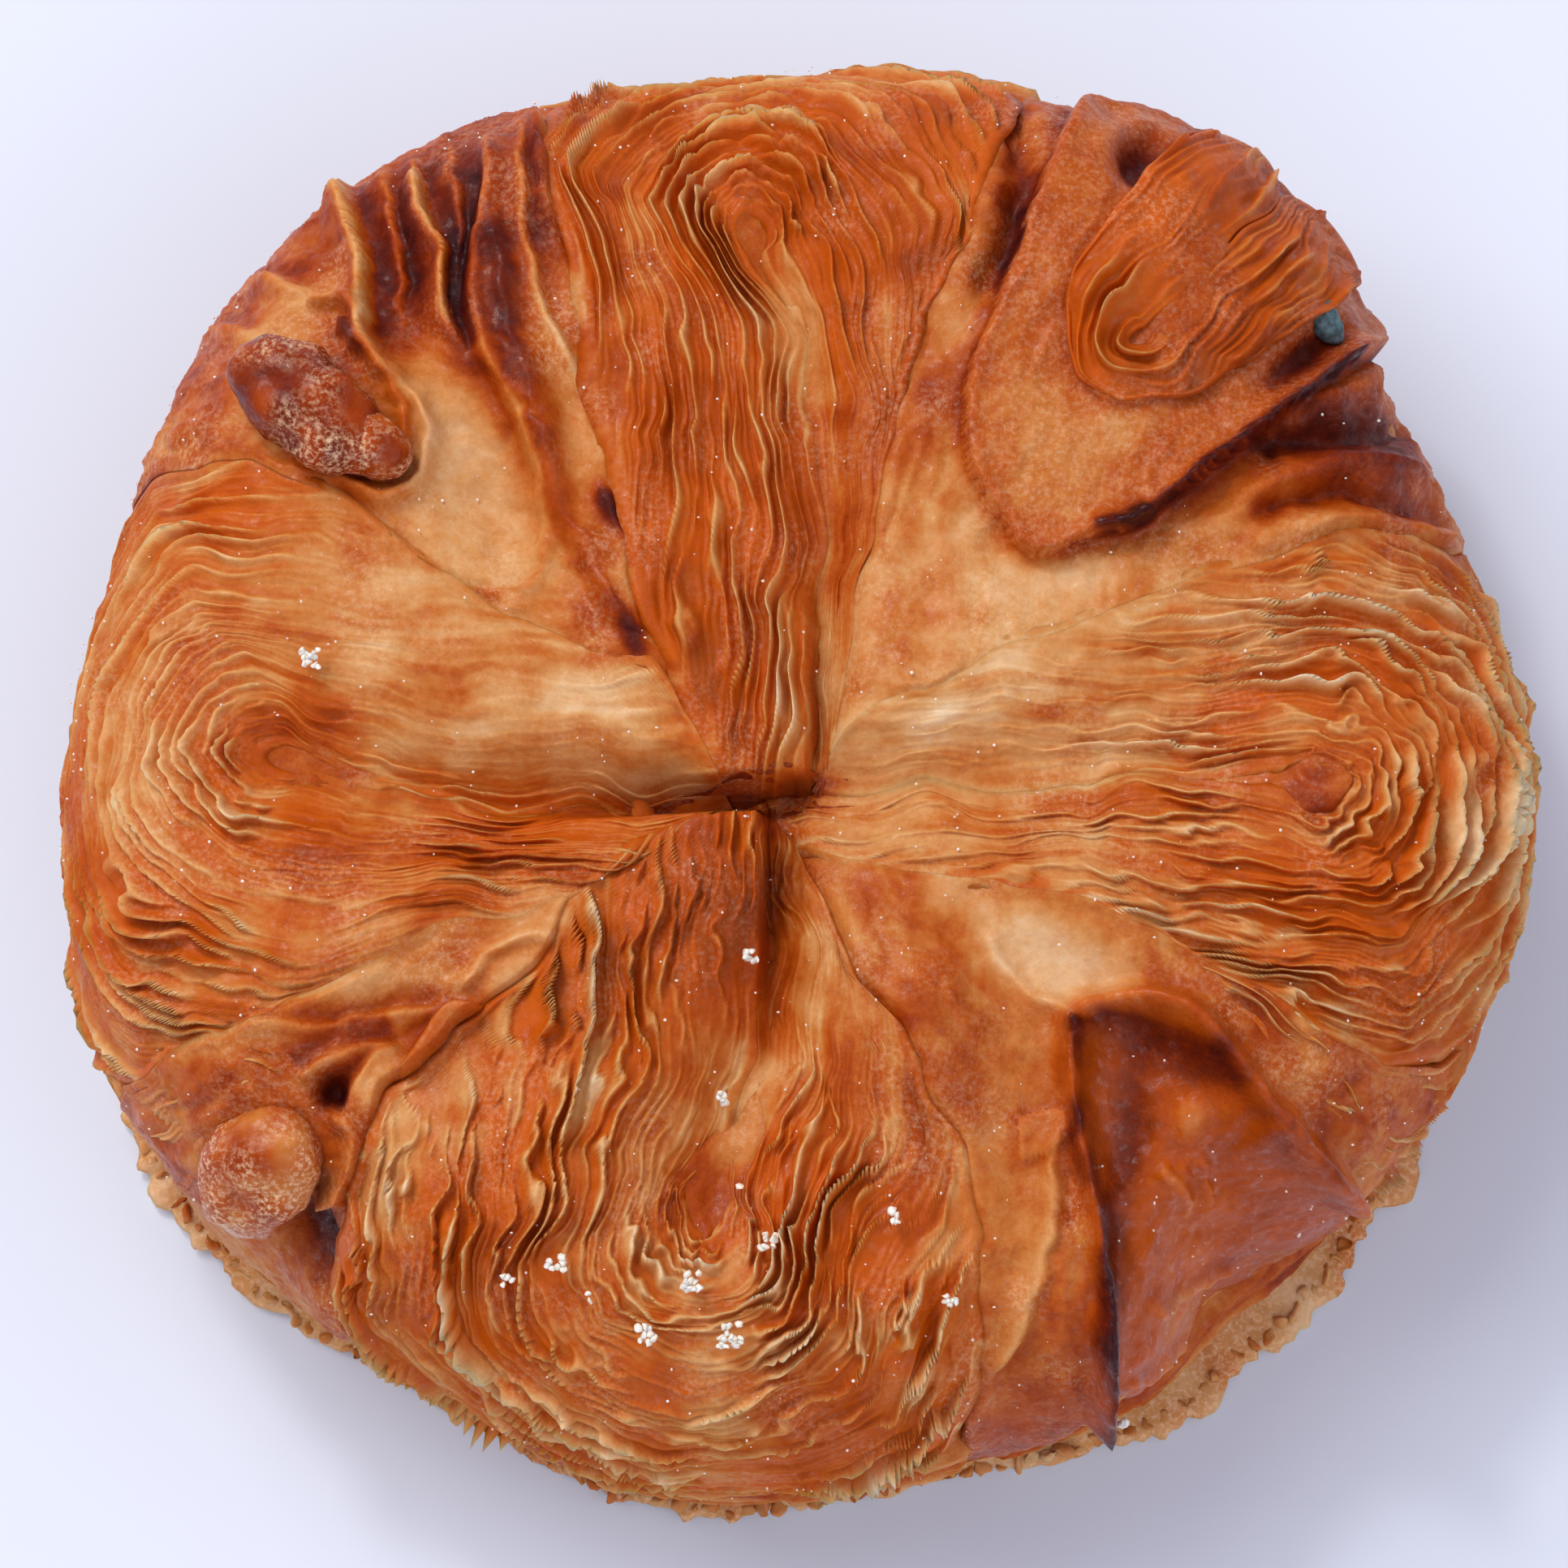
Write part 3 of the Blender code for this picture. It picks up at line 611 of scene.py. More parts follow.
@dataclass(frozen=True)
class CakeForm:
    """Plain body, its grooves and swellings, and the browning over it."""

    crown_height: float = 33.0
    shoulder_reach: float = 13.0
    shoulder_drop: float = 15.0
    shoulder_roll: float = 22.0
    wall_height: float = 18.0
    wall_draft: float = 0.006
    block_rise: float = 0.8
    north_rise: float = -0.2
    middle_dip: float = 1.2
    middle_reach: float = 9.0
    centre: tuple[float, float] = (0.0, -3.7)
    outline: tuple[float, ...] = (50.0, 48.5, 49.5, 50.5, 49.5, 48.0, 50.5, 50.5, 48.5,
                                  49.5, 50.5, 50.0, 48.5, 49.5, 48.5, 49.0, 48.5, 50.0)
    seams: dict[str, Pairs] = field(default_factory=lambda: {
        "north": ((0.0, -3.7), (1.9, 3.0), (2.2, 14.6), (0.9, 25.7), (-2.4, 34.2)),
        "west": ((0.0, -3.7), (-8.2, -4.8), (-15.9, -4.4), (-22.4, -4.0), (-34.2, -1.2)),
        "south": ((0.0, -3.7), (-1.4, -10.7), (-1.5, -18.9), (-3.8, -24.5), (-5.6, -31.8)),
        "east": ((0.0, -3.7), (9.4, -3.3), (17.7, -3.1), (25.6, -2.7), (34.4, -3.0))})
    seam_depths: dict[str, tuple[Pairs, float]] = field(default_factory=lambda: {
        "north": ((4.5, 3.4, 2.4, 2.2, 1.0), 2.4),
        "west": ((6.0, 6.4, 4.8, 3.6, 2.4), 3.2),
        "south": ((4.6, 4.8, 4.2, 3.6, 2.8), 2.8),
        "east": ((3.6, 3.0, 2.4, 1.8, -0.4), 4.4)})
    swellings: Pairs = (
        (-9.0, 14.0, 12.0, 5.0, 105.0, 1.6), (9.0, 12.0, 12.0, 6.0, 70.0, 0.8),
        (15.0, 4.5, 14.0, 5.0, 25.0, 1.0), (26.0, -13.0, 14.0, 6.0, -25.0, 1.4),
        (8.5, -19.0, 8.0, 4.5, -70.0, 2.2), (-13.0, -24.0, 13.0, 6.0, -110.0, 1.8),
        (-22.0, -12.0, 12.0, 5.0, 20.0, 1.4), (-21.0, 7.0, 12.0, 4.5, 155.0, 0.8),
        (-20.0, 15.0, 6.5, 4.0, 120.0, -2.6), (31.0, 26.0, 12.0, 7.0, 40.0, -2.0),
        (32.0, -38.0, 16.0, 6.5, -52.0, -5.0), (-26.0, -19.0, 8.0, 4.0, 35.0, -2.0),
        (-36.0, -34.0, 9.0, 5.0, 45.0, -4.0), (-30.0, 33.0, 8.0, 8.0, 0.0, -1.6),
        (15.0, -38.0, 18.0, 3.5, -85.0, -1.8))

    def radius(self, angle: np.ndarray) -> np.ndarray:
        """Widest radius of the cake, smooth between the named ones.

        Args:
            angle: Angles in radians.

        Returns:
            Radius at each angle.
        """
        place = (np.degrees(angle) % 360.0) / 20.0
        index = np.floor(place).astype(int)
        f = place - index
        radii = np.array(self.outline)
        a, b, c, d = (radii[(index + k) % 18] for k in (-1, 0, 1, 2))
        return b + 0.5 * f * (c - a + f * (2 * a - 5 * b + 4 * c - d + f * (3 * (b - c) + d - a)))

    def rolled(self, plan: np.ndarray) -> np.ndarray:
        """Roll the plan over the plain body: level crown, rounded shoulder, upright wall.

        Args:
            plan: Points, last axis two.

        Returns:
            Place of each point in space.
        """
        u, v = plan[..., 0], plan[..., 1]
        reach, angle = np.hypot(u, v), np.arctan2(v, u)
        level = self.radius(angle) - self.shoulder_reach
        turn = np.clip((reach - level) / self.shoulder_roll, 0.0, 1.0) * math.pi / 2
        fall = np.clip(reach - level - self.shoulder_roll, 0.0, self.wall_height)
        radius = np.where(reach < level, reach, level + self.shoulder_reach * np.sin(turn))
        radius = radius - self.wall_draft * fall ** 2
        height = self.crown_height - self.shoulder_drop * (1.0 - np.cos(turn)) - fall
        return np.stack([radius * np.cos(angle), radius * np.sin(angle), height], axis=-1)

    def outward(self, plan: np.ndarray) -> np.ndarray:
        """Find which way the plain body faces.

        Args:
            plan: Points, last axis two.

        Returns:
            Unit normal at each point.
        """
        step = 0.05
        east = self.rolled(plan + (step, 0.0)) - self.rolled(plan - (step, 0.0))
        north = self.rolled(plan + (0.0, step)) - self.rolled(plan - (0.0, step))
        normal = np.cross(east, north)
        return normal / np.linalg.norm(normal, axis=-1, keepdims=True)

    def corner_block(self, plan: np.ndarray) -> np.ndarray:
        """Flap corner that stands square over the south and west seams.

        Args:
            plan: Points, last axis two.

        Returns:
            Share of each point in it, 0 to 1.
        """
        west = smooth_step((-1.3 - plan[..., 0]) / 1.0)
        south = smooth_step((-4.5 - plan[..., 1]) / 1.0)
        near = np.exp(-(np.hypot(plan[..., 0] + 3.0, plan[..., 1] + 6.0) / 11.0) ** 2)
        return west * south * near

    def north_block(self, plan: np.ndarray) -> np.ndarray:
        """End of the band over the west seam, left of the north one.

        Args:
            plan: Points, last axis two.

        Returns:
            Share of each point in it, 0 to 1.
        """
        west = smooth_step((1.9 - plan[..., 0]) / 1.0) * smooth_step((plan[..., 0] + 8.0) / 3.0)
        north = smooth_step((plan[..., 1] + 3.5) / 1.0)
        near = np.exp(-(np.hypot(plan[..., 0] + 1.6, plan[..., 1]) / 7.5) ** 2)
        return west * north * near

    def relief(self, plan: np.ndarray) -> np.ndarray:
        """Rise of the real surface over the plain body, along its normal.

        Args:
            plan: Points, last axis two.

        Returns:
            Rise in millimetres.
        """
        u, v = plan[..., 0], plan[..., 1]
        rise = -self.middle_dip * np.exp(-(np.hypot(u, v - self.centre[1]) / self.middle_reach) ** 2)
        for lobe, (depths, half_width) in self.seam_depths.items():
            gap, along = path_distance(plan, spline(self.seams[lobe], np.linspace(0, 1, 12)))
            gap = np.abs(gap)
            depth = np.interp(along, np.linspace(0.0, 1.0, len(depths)), depths)
            groove = -depth * np.exp(-(gap / (half_width * (0.7 + 0.6 * along))) ** 2)
            rise = np.minimum(rise, groove)
        share = self.corner_block(plan)
        rise = rise * (1.0 - share) + self.block_rise * share
        share = self.north_block(plan)
        rise = rise * (1.0 - share) + self.north_rise * share
        for cu, cv, half_length, half_width, turn, height in self.swellings:
            angle = math.radians(turn)
            along = (u - cu) * math.cos(angle) + (v - cv) * math.sin(angle)
            across = -(u - cu) * math.sin(angle) + (v - cv) * math.cos(angle)
            rise = rise + height * np.exp(-(along / half_length) ** 2 - (across / half_width) ** 2)
        return rise

    def surface(self, plan: np.ndarray, lift: np.ndarray | float = 0.0) -> np.ndarray:
        """Real surface over plan points, raised by lift millimetres along the normal."""
        rise = self.relief(plan) + lift
        return self.rolled(plan) + self.outward(plan) * rise[..., None]

    def browning(self, plan: np.ndarray) -> tuple[np.ndarray, np.ndarray, np.ndarray]:
        """Tone, gloss and smoothness of the bake over plan points.

        Args:
            plan: Points, last axis two.

        Returns:
            Tone 0 pale to 1 dark, gloss 0 to 1, and calm, the share of the layers that is smoothed away.
        """
        reach = np.hypot(plan[..., 0], plan[..., 1])
        tone = 0.58 + 0.05 * lattice_noise(plan, 6.0, 3) + 0.1 * smooth_step((reach - 58.0) / 14.0)
        gloss = 0.14 + 0.2 * lattice_noise(plan, 4.0, 5)
        calm = np.zeros(reach.shape)
        for patch in PATCHES:
            share = patch.share(plan)
            tone += (patch.tone - tone) * share * patch.weight
            gloss += (patch.gloss - gloss) * share * GLOSS_WEIGHT
            calm = np.maximum(calm, share * patch.calm)
        return tone, np.clip(gloss, 0.0, 1.0), calm


# Sheets of dough


class BandKind(enum.Enum):
    """How the sheets of a band lie between its two edges."""

    HAIRPIN = "out along a seam, round its eye and back"
    STRIP = "side by side"


@dataclass(frozen=True)
class Eye:
    """Oval hole that the innermost sheet of a hairpin goes round."""

    u: float
    v: float
    half_length: float
    half_width: float
    turn: float
    # Part of the seam that the innermost sheet follows, its clearance there, and the arc round the eye.
    part: tuple[float, float] = (0.2, 0.82)
    clearance: tuple[float, float] = (0.01, 0.08)
    opening: float = 140.0
    # Share of the hairpin that runs along each side of the seam.
    leg: float = 0.31

    def arc(self, start: float, end: float, steps: int) -> np.ndarray:
        """Trace part of the oval.

        Args:
            start: First angle in degrees from the long axis.
            end: Last angle.
            steps: Number of points.

        Returns:
            Points on the plan.
        """
        angle = np.radians(np.linspace(start, end, steps))
        turn = math.radians(self.turn)
        x, y = self.half_length * np.cos(angle), self.half_width * np.sin(angle)
        return np.stack([self.u + x * math.cos(turn) - y * math.sin(turn),
                         self.v + x * math.sin(turn) + y * math.cos(turn)], axis=-1)

    def hairpin(self, seam: Pairs, ends: Pairs, share: np.ndarray) -> np.ndarray:
        """Path out along a seam, round the eye and back.

        Args:
            seam: Control points of the seam.
            ends: First and last point of the path.
            share: Places along the path, 0 to 1.

        Returns:
            One plan point for each share.
        """
        steps, leg = 7, self.leg
        line = spline(seam, np.linspace(*self.part, steps))
        tangent = np.gradient(line, axis=0)
        side = np.stack([tangent[:, 1], -tangent[:, 0]], axis=-1)
        side *= (np.linspace(*self.clearance, steps) / np.linalg.norm(side, axis=1))[:, None]
        around = self.arc(-self.opening, self.opening, 2 * steps + 1)
        out = np.vstack([[ends[0]], line + side, around[:1]])
        back = np.vstack([around[-1:], (line - side)[::-1], [ends[1]]])
        parts = [spline(out, np.clip(share / leg, 0.0, 1.0)),
                 spline(around, np.clip((share - leg) / (1.0 - 2.0 * leg), 0.0, 1.0)),
                 spline(back, np.clip((share - 1.0 + leg) / leg, 0.0, 1.0))]
        first, last = share[:, None] < leg, share[:, None] > 1.0 - leg
        return np.where(first, parts[0], np.where(last, parts[2], parts[1]))


@dataclass
class SheetBand:
    """Band of crust where thin dough sheets crop out as ragged crests that follow the flow.

    The sheets keep their own spacing in millimetres, so they start, fork and run out where the
    band widens or narrows, and they sink away where the crust is calm.
    """

    name: str
    kind: BandKind
    inner: Pairs
    outer: Pairs
    eye: Eye | None = None
    ends: Pairs = ((0.0, -3.7), (0.0, -3.7))
    rows: int = 190
    columns: int = 315
    pitch: float = 0.95
    rise: float = 0.7
    lace: float = 0.16
    lean: float = 0.15
    spread: float = 0.0
    facing: float = 1.0
    ledge: float = 0.0
    crest_tone: float = -0.24
    gap_shade: float = 0.12
    lift: float = 0.0
    bulge: float = 0.0
    soft_edge: float = 1.2
    seed: int = 1
    tone_shift: float = 0.0
    fan: float = 60.0
    depth: float = 2.2
    fine_pitch: float = 0.45
    fine_rise: float = 0.22
    # Millimetres: place and width of a sheet's free edge, and widths of the gaps before and beyond it.
    edge_place: float = 0.3
    edge_width: float = 0.17
    gap_before: float = 0.32
    gap_beyond: float = 0.12
    # Millimetres along a sheet over which its height, its nicks and its shade change, and their seeds.
    runs: tuple[tuple[float, int], ...] = ((6.5, 5), (1.7, 5), (11.0, 7))

    def edges(self) -> tuple[np.ndarray, np.ndarray]:
        """Work out both edges of the band.

        Returns:
            Plan points of the inner and the outer edge, one for each column.
        """
        share = np.linspace(0.0, 1.0, self.columns)
        outer = spline(self.outer, share)
        if self.kind is BandKind.HAIRPIN:
            return self.eye.hairpin(self.inner, self.ends, share), outer
        return spline(self.inner, share), outer

    def outcrop(self, flow: np.ndarray, pitch: float, seed: int) -> tuple[np.ndarray, ...]:
        """One set of sheets that lie like shingles, each with a free edge.

        Args:
            flow: Millimetres across and along the band.
            pitch: Spacing of the sheets in millimetres at the inner edge.
            seed: Picks the pattern.

        Returns:
            Height of the sheets, nearness of a free edge and of the gap beyond it, each from nought
            to about one, and a random shade for each sheet.
        """
        across, along = flow[..., 0], flow[..., 1]
        thinning = self.spread * across / self.fan
        local = pitch / np.clip(1.0 - 2.0 * thinning, 0.35, 1.0)
        place = across / pitch * (1.0 - thinning)
        for k, (width, length, amount) in enumerate(self.waves()):
            place = place + amount * lattice_noise(flow / (width, length), 1.0, seed + k)
        place = place * self.facing
        sheet = np.floor(place)
        share = place - sheet
        beyond = (1.0 - share) * local
        broad, narrow, shade = (lattice_noise(np.stack([sheet, along / run], axis=-1), 1.0, seed + own)
                                for run, own in self.runs)
        stature = np.clip(0.62 + 0.85 * broad + 0.3 * narrow, 0.04, 1.3)
        rim = np.exp(-((beyond - self.edge_place) / self.edge_width) ** 2) * stature
        ramp = smooth_step(share / 0.85) ** 1.5 * smooth_step(beyond / self.edge_place) * stature
        gap = np.exp(-(share * local / self.gap_before) ** 2) + np.exp(-(beyond / self.gap_beyond) ** 2)
        return 0.5 * ramp + 0.55 * rim, rim, np.clip(gap, 0.0, 1.0) * stature, shade

    def waves(self) -> Pairs:
        """Width and length in millimetres, and amount in sheets, of each wave in the sheets' flow."""
        return (3.2, 15.0, 0.7), (1.7, 5.0, 0.42), (1.2, 2.3, 1.5 * self.lace), (0.8, 1.5, 0.5 * self.lace)

    def build(self, form: CakeForm, material: bpy.types.Material) -> bpy.types.Object:
        """Make the band as one closed piece.

        Args:
            form: Shape of the cake.
            material: Finish of the sheets.

        Returns:
            The band's object.
        """
        inner, outer = self.edges()
        span = outer - inner
        width = np.linalg.norm(span, axis=1) + 1e-6
        over = np.linspace(0.0, 1.0, self.rows)[:, None]
        plan = meander(inner[None] + span[None] * over[..., None])
        middle = plan[self.rows // 2]
        run = np.concatenate([[0.0], np.cumsum(np.linalg.norm(np.diff(middle, axis=0), axis=1))])
        flow = np.stack(np.broadcast_arrays(over * width, run[None]), axis=-1)
        tone, gloss, calm = form.browning(plan)
        fullness = 1.0 - 0.95 * calm
        edge = np.minimum(over, 1.0 - over) * width
        fade = smooth_step(edge / self.soft_edge) * smooth_step(np.minimum(run, run[-1] - run) / 2.2 + 0.1)

        coarse, rim, gap, shade = self.outcrop(flow, self.pitch, self.seed)
        fine, fine_rim, _, _ = self.outcrop(flow, self.fine_pitch * self.pitch, self.seed + 20)
        thin = np.maximum(fullness, 0.35) * fade
        loose = np.clip(0.75 + 1.0 * lattice_noise(flow / (5.0, 11.0), 1.0, self.seed + 40), 0.12, 1.4)
        crest = coarse * loose
        lift = self.rise * ((crest - 0.3) * fullness * fade + self.fine_rise * fine * thin)
        streak = lattice_noise(flow / (0.55, 6.0), 1.0, self.seed + 41)
        lift = lift + 0.07 * streak + noise_sum(plan, ((0.1, 1.3, 42), (0.04, 0.5, 43)), self.seed)
        lift = lift * fade + self.bulge * np.sin(np.pi * over) ** 0.7
        away = span / width[:, None]
        shifted = plan + away[None] * (self.lean * self.facing * crest * fullness * fade)[..., None]
        points = form.surface(shifted, lift + self.lift)

        shown = fullness * np.sqrt(loose)
        # The gap term is painted shade: it darkens the gaps before and beyond each sheet's free edge.
        tone = tone + self.tone_shift + shown * (self.crest_tone * rim + self.gap_shade * gap + 0.1 * shade)
        tone = tone - 0.08 * fine_rim * thin + 0.07 * streak * (1.3 - fullness)
        tone = tone + fade * (0.09 * lattice_noise(flow / (2.2, 8.0), 1.0, self.seed + 44)
                              + noise_sum(plan, ((0.1, 4.6, 45), (0.07, 1.7, 46)), self.seed))
        # Warm is a painted glow: orange light through the thin sheets, laid on the flanks away from their
        # edges.
        warm = np.clip(0.65 * shown * (1.0 - rim) * smooth_step((tone - 0.4) / 0.2), 0.0, 0.7)
        frost = np.clip(0.06 + 0.3 * lattice_noise(plan, 3.2, self.seed + 48), 0.0, 0.3)
        under = form.surface(plan[[0, -1]], -self.depth)
        ledge = form.surface(plan[[0, -1]] + self.ledge * np.stack([-0.5 * away, away]), self.lift - 0.22)
        ring = np.concatenate([under[:1], ledge[:1], points, ledge[1:], under[1:]], axis=0)
        sheen = np.clip(gloss + 0.5 * lattice_noise(plan, 3.0, self.seed + 47) - 0.1, 0.0, 1.0)
        values = {"tone": tone, "gloss": sheen, "warm": warm, "frost": frost}
        padded = {key: np.concatenate([v[[0, 0]], v, v[[-1, -1]]], axis=0).T.ravel()
                  for key, v in values.items()}
        flat = np.swapaxes(ring, 0, 1).reshape(-1, 3)
        return mesh_object(self.name, flat, tube_faces(self.columns, ring.shape[0]), padded, material)


# Lines that a lobe and a folded corner share, from the middle out.
NORTH_RIGHT = ((4.0, 3.0), (5.0, 11.5), (6.6, 19.0), (9.0, 28.0), (13.0, 37.0))
NORTH_LEFT = ((-9.0, 8.0), (-11.6, 17.0), (-13.7, 27.0), (-15.7, 36.0))
WEST_UPPER = ((-14.7, 6.3), (-20.3, 9.7), (-25.7, 12.6), (-31.5, 16.4), (-40.7, 19.5))
WEST_LOWER = ((-13.4, -11.0), (-17.9, -12.2), (-25.4, -14.3), (-35.2, -18.5), (-43.4, -22.2))
SOUTH_LEFT = ((-13.4, -11.0), (-16.4, -15.6), (-22.3, -20.4), (-27.5, -26.0), (-31.0, -34.0), (-34.0, -46.0))
SOUTH_RIGHT = ((3.6, -15.0), (7.6, -20.5), (10.4, -27.0), (12.3, -36.0))
EAST_LOWER = ((4.2, -8.6), (12.1, -9.8), (22.8, -12.6), (28.3, -16.2), (36.1, -20.4))
EAST_UPPER = ((6.9, 2.0), (14.9, 5.9), (23.0, 9.2), (31.4, 11.8), (40.4, 14.7))
TIP_NW, TIP_NE, TIP_SE, TIP_SW = (-7.4, 2.4), (3.2, -1.4), (0.8, -7.6), (-9.6, -6.6)


@dataclass
class Lamination:
    """Four lobes of cut dough edges, each a set of hairpins round a seam, and the bands between."""

    def borders(self) -> dict[str, Pairs]:
        """Outer edges of the lobes, counter-clockwise.

        Returns:
            Corners of each lobe's outer edge.
        """
        return {
            "north": (TIP_NE, *NORTH_RIGHT, (16.0, 49.0), (9.0, 57.0), (-3.0, 59.5), (-15.0, 55.0),
                      (-18.0, 45.0), *NORTH_LEFT[::-1], (-7.2, 2.8), (-5.8, -0.8), (-4.6, -3.7)),
            "west": ((-6.6, 0.6), (-9.4, 4.0), *WEST_UPPER, (-52.0, 19.0), (-60.0, 11.0), (-62.0, -2.0),
                     (-60.0, -15.0), (-53.0, -24.0), *WEST_LOWER[::-1], TIP_SW),
            "south": (TIP_SW, *SOUTH_LEFT, (-27.0, -56.0), (-13.0, -62.0), (0.0, -63.0), (9.0, -58.0),
                      (12.3, -48.0), *SOUTH_RIGHT[::-1], TIP_SE),
            "east": (TIP_SE, *EAST_LOWER, (44.0, -22.0), (53.0, -20.0), (60.0, -11.0), (62.0, 0.0),
                     (57.0, 10.0), (48.5, 14.5), *EAST_UPPER[::-1], TIP_NE),
        }

    def lobes(self, form: CakeForm) -> list[SheetBand]:
        """Make the four lobes as bands of hairpins, each round its eye.

        Args:
            form: Shape of the cake.

        Returns:
            The four bands.
        """
        eyes = {
            "north": Eye(-2.3, 34.4, 1.6, 1.2, 100.0),
            "west": Eye(-33.4, -0.9, 1.7, 1.0, 172.0),
            "south": Eye(-5.3, -31.2, 2.2, 1.9, 262.0),
            "east": Eye(34.4, -3.2, 1.8, 1.6, 0.0),
        }
        looks = {
            "north": {"seed": 221, "ends": ((2.1, -4.0), (1.4, -4.0)), "rise": 1.15, "spread": 0.3,
                      "tone_shift": 0.1},
            "west": {"seed": 322, "ends": ((-4.2, -4.4), (-1.7, -4.7)), "rise": 1.05, "spread": 0.2,
                     "pitch": 1.0},
            "south": {"seed": 423, "ends": ((-1.5, -4.2), (-0.5, -4.5)), "rise": 1.5, "spread": 0.7,
                      "lace": 0.3, "facing": -1.0, "crest_tone": -0.32},
            "east": {"seed": 524, "ends": ((-1.0, -4.4), (1.8, -3.3)), "rise": 1.3, "spread": 0.3,
                     "lace": 0.3, "crest_tone": -0.3},
        }
        return [SheetBand(f"layers_{name}", BandKind.HAIRPIN, form.seams[name], border, eye=eyes[name],
                          ledge=0.9, **looks[name])
                for name, border in self.borders().items()]

    def bands(self) -> list[SheetBand]:
        """Lay looser sheets on the diagonals.

        Returns:
            Two strips and the upper right nest.
        """
        strip = BandKind.STRIP
        nest = Eye(23.6, 26.4, 0.9, 0.6, 225.0)
        looks = {"rows": 80, "columns": 110, "pitch": 1.3, "rise": 1.2, "lace": 0.3, "crest_tone": -0.2}
        return [
            SheetBand("flakes_se", strip,
                      ((54.0, -22.0), (46.0, -23.0), (38.0, -20.8), (32.0, -18.4), (27.0, -15.6)),
                      ((50.0, -38.0), (45.0, -33.0), (39.0, -27.6), (34.0, -23.4), (29.0, -18.6)),
                      seed=633, **looks),
            SheetBand("flakes_sw", strip,
                      ((-58.0, -25.0), (-50.0, -25.5), (-42.0, -22.5), (-36.0, -20.0), (-31.0, -19.4)),
                      ((-52.0, -38.0), (-46.0, -33.0), (-40.0, -27.5), (-35.0, -24.0), (-31.0, -21.4)),
                      seed=734, **looks),
            SheetBand("nest_ne", BandKind.HAIRPIN, ((36.1, 42.2), (31.0, 35.4), (27.0, 30.4), (24.4, 27.2)),
                      ((30.4, 46.5), (26.4, 41.0), (23.4, 36.6), (20.9, 32.8), (19.0, 30.1), (18.4, 27.4),
                       (18.8, 24.7), (20.1, 22.8), (22.3, 21.8), (24.6, 22.3), (27.3, 23.6), (30.8, 25.9),
                       (34.6, 28.8), (38.4, 32.6), (42.0, 37.4)),
                      eye=nest, ends=((35.7, 42.7), (36.5, 41.7)), rows=70, columns=220, pitch=1.5, rise=1.5,
                      lace=0.08, lift=2.8, bulge=0.85, soft_edge=0.4, crest_tone=-0.22,
                      gap_shade=0.26, tone_shift=0.14, seed=835),
        ]


# Folded corners between the lobes


@dataclass(frozen=True)
class Ridge:
    """Pleat, lip or groove along a path, with its own slope on each side.

    A positive tone browns a raised crest, and along a groove (negative rise) it is painted shade in the
    bottom. Shade is painted shade that darkens the steeper side below the crest.
    """

    path: Pairs
    rise: float
    left: float
    right: float
    tone: float = 0.0
    tone_width: float = 0.5
    shade: float = 0.0
    gloss: float = 0.0
    ends: float = 0.12
    corners: int = 26

    def apply(self, skin: "SkinField") -> None:
        """Work the ridge into a field of skin.

        Args:
            skin: Field of skin that it changes.
        """
        crest_line = spline(self.path, np.linspace(0.0, 1.0, self.corners))
        gap, along = path_distance(skin.plan + wander(skin.plan, *RIDGE_WOBBLE), crest_line)
        width = np.where(gap > 0.0, self.left, self.right)
        taper = smooth_step(np.minimum(along, 1.0 - along) / self.ends + 0.1)
        bell = np.exp(-(gap / width) ** 2) * taper
        crest = np.exp(-(gap / self.tone_width) ** 2) * taper
        steep = gap > 0.0 if self.left < self.right else gap < 0.0
        steep_shade = np.where(steep, np.exp(-((np.abs(gap) - 1.0) / 1.1) ** 2), 0.0) * taper
        ragged = 1.0 + 0.18 / max(self.rise, 1.0) ** 1.5 * lattice_noise(skin.plan, 1.8, 91)
        skin.lift += self.rise * bell * ragged
        skin.tone += self.tone * crest + self.shade * steep_shade
        skin.gloss += self.gloss * crest


@dataclass(frozen=True)
class Plate:
    """Flap of skin inside a closed outline, standing proud with a crisp edge."""

    ring: Pairs
    rise: float
    tone: float
    edge: float = 0.35
    rim: float = 0.2
    rim_width: float = 0.5
    rim_tone: float = 0.0
    weight: float = 0.9
    gloss: float = 0.3
    frost: float = 0.0
    shade: float = 0.12
    corners: int = 64

    def apply(self, skin: "SkinField") -> None:
        """Work the flap into a field of skin.

        Args:
            skin: Field of skin that it changes.
        """
        closed = np.vstack([self.ring, self.ring[:1]])
        corners = spline(closed, np.linspace(0.0, 1.0, self.corners))
        gap, _ = path_distance(skin.plan, corners)
        gap = np.abs(gap) * np.where(inside(skin.plan, corners), 1.0, -1.0)
        gap = gap + 0.16 * lattice_noise(skin.plan, 1.1, 92)
        step = smooth_step(0.5 + gap / self.edge)
        rim = np.exp(-((gap - 0.6 * self.rim_width) / self.rim_width) ** 2)
        skin.lift += self.rise * step + self.rim * rim
        skin.tone += (self.tone - skin.tone) * step * self.weight + self.rim_tone * rim
        # Painted shadow just outside the flap's edge, where it stands over the skin below.
        skin.tone += self.shade * np.where(gap < 0.0, np.exp(-(gap / 0.8) ** 2), 0.0)
        skin.gloss += (self.gloss - skin.gloss) * step
        skin.frost = np.maximum(skin.frost, self.frost * step)


@dataclass
class SkinField:
    """Values over a grid of plan points while a folded corner is shaped."""

    plan: np.ndarray
    lift: np.ndarray
    tone: np.ndarray
    gloss: np.ndarray
    frost: np.ndarray


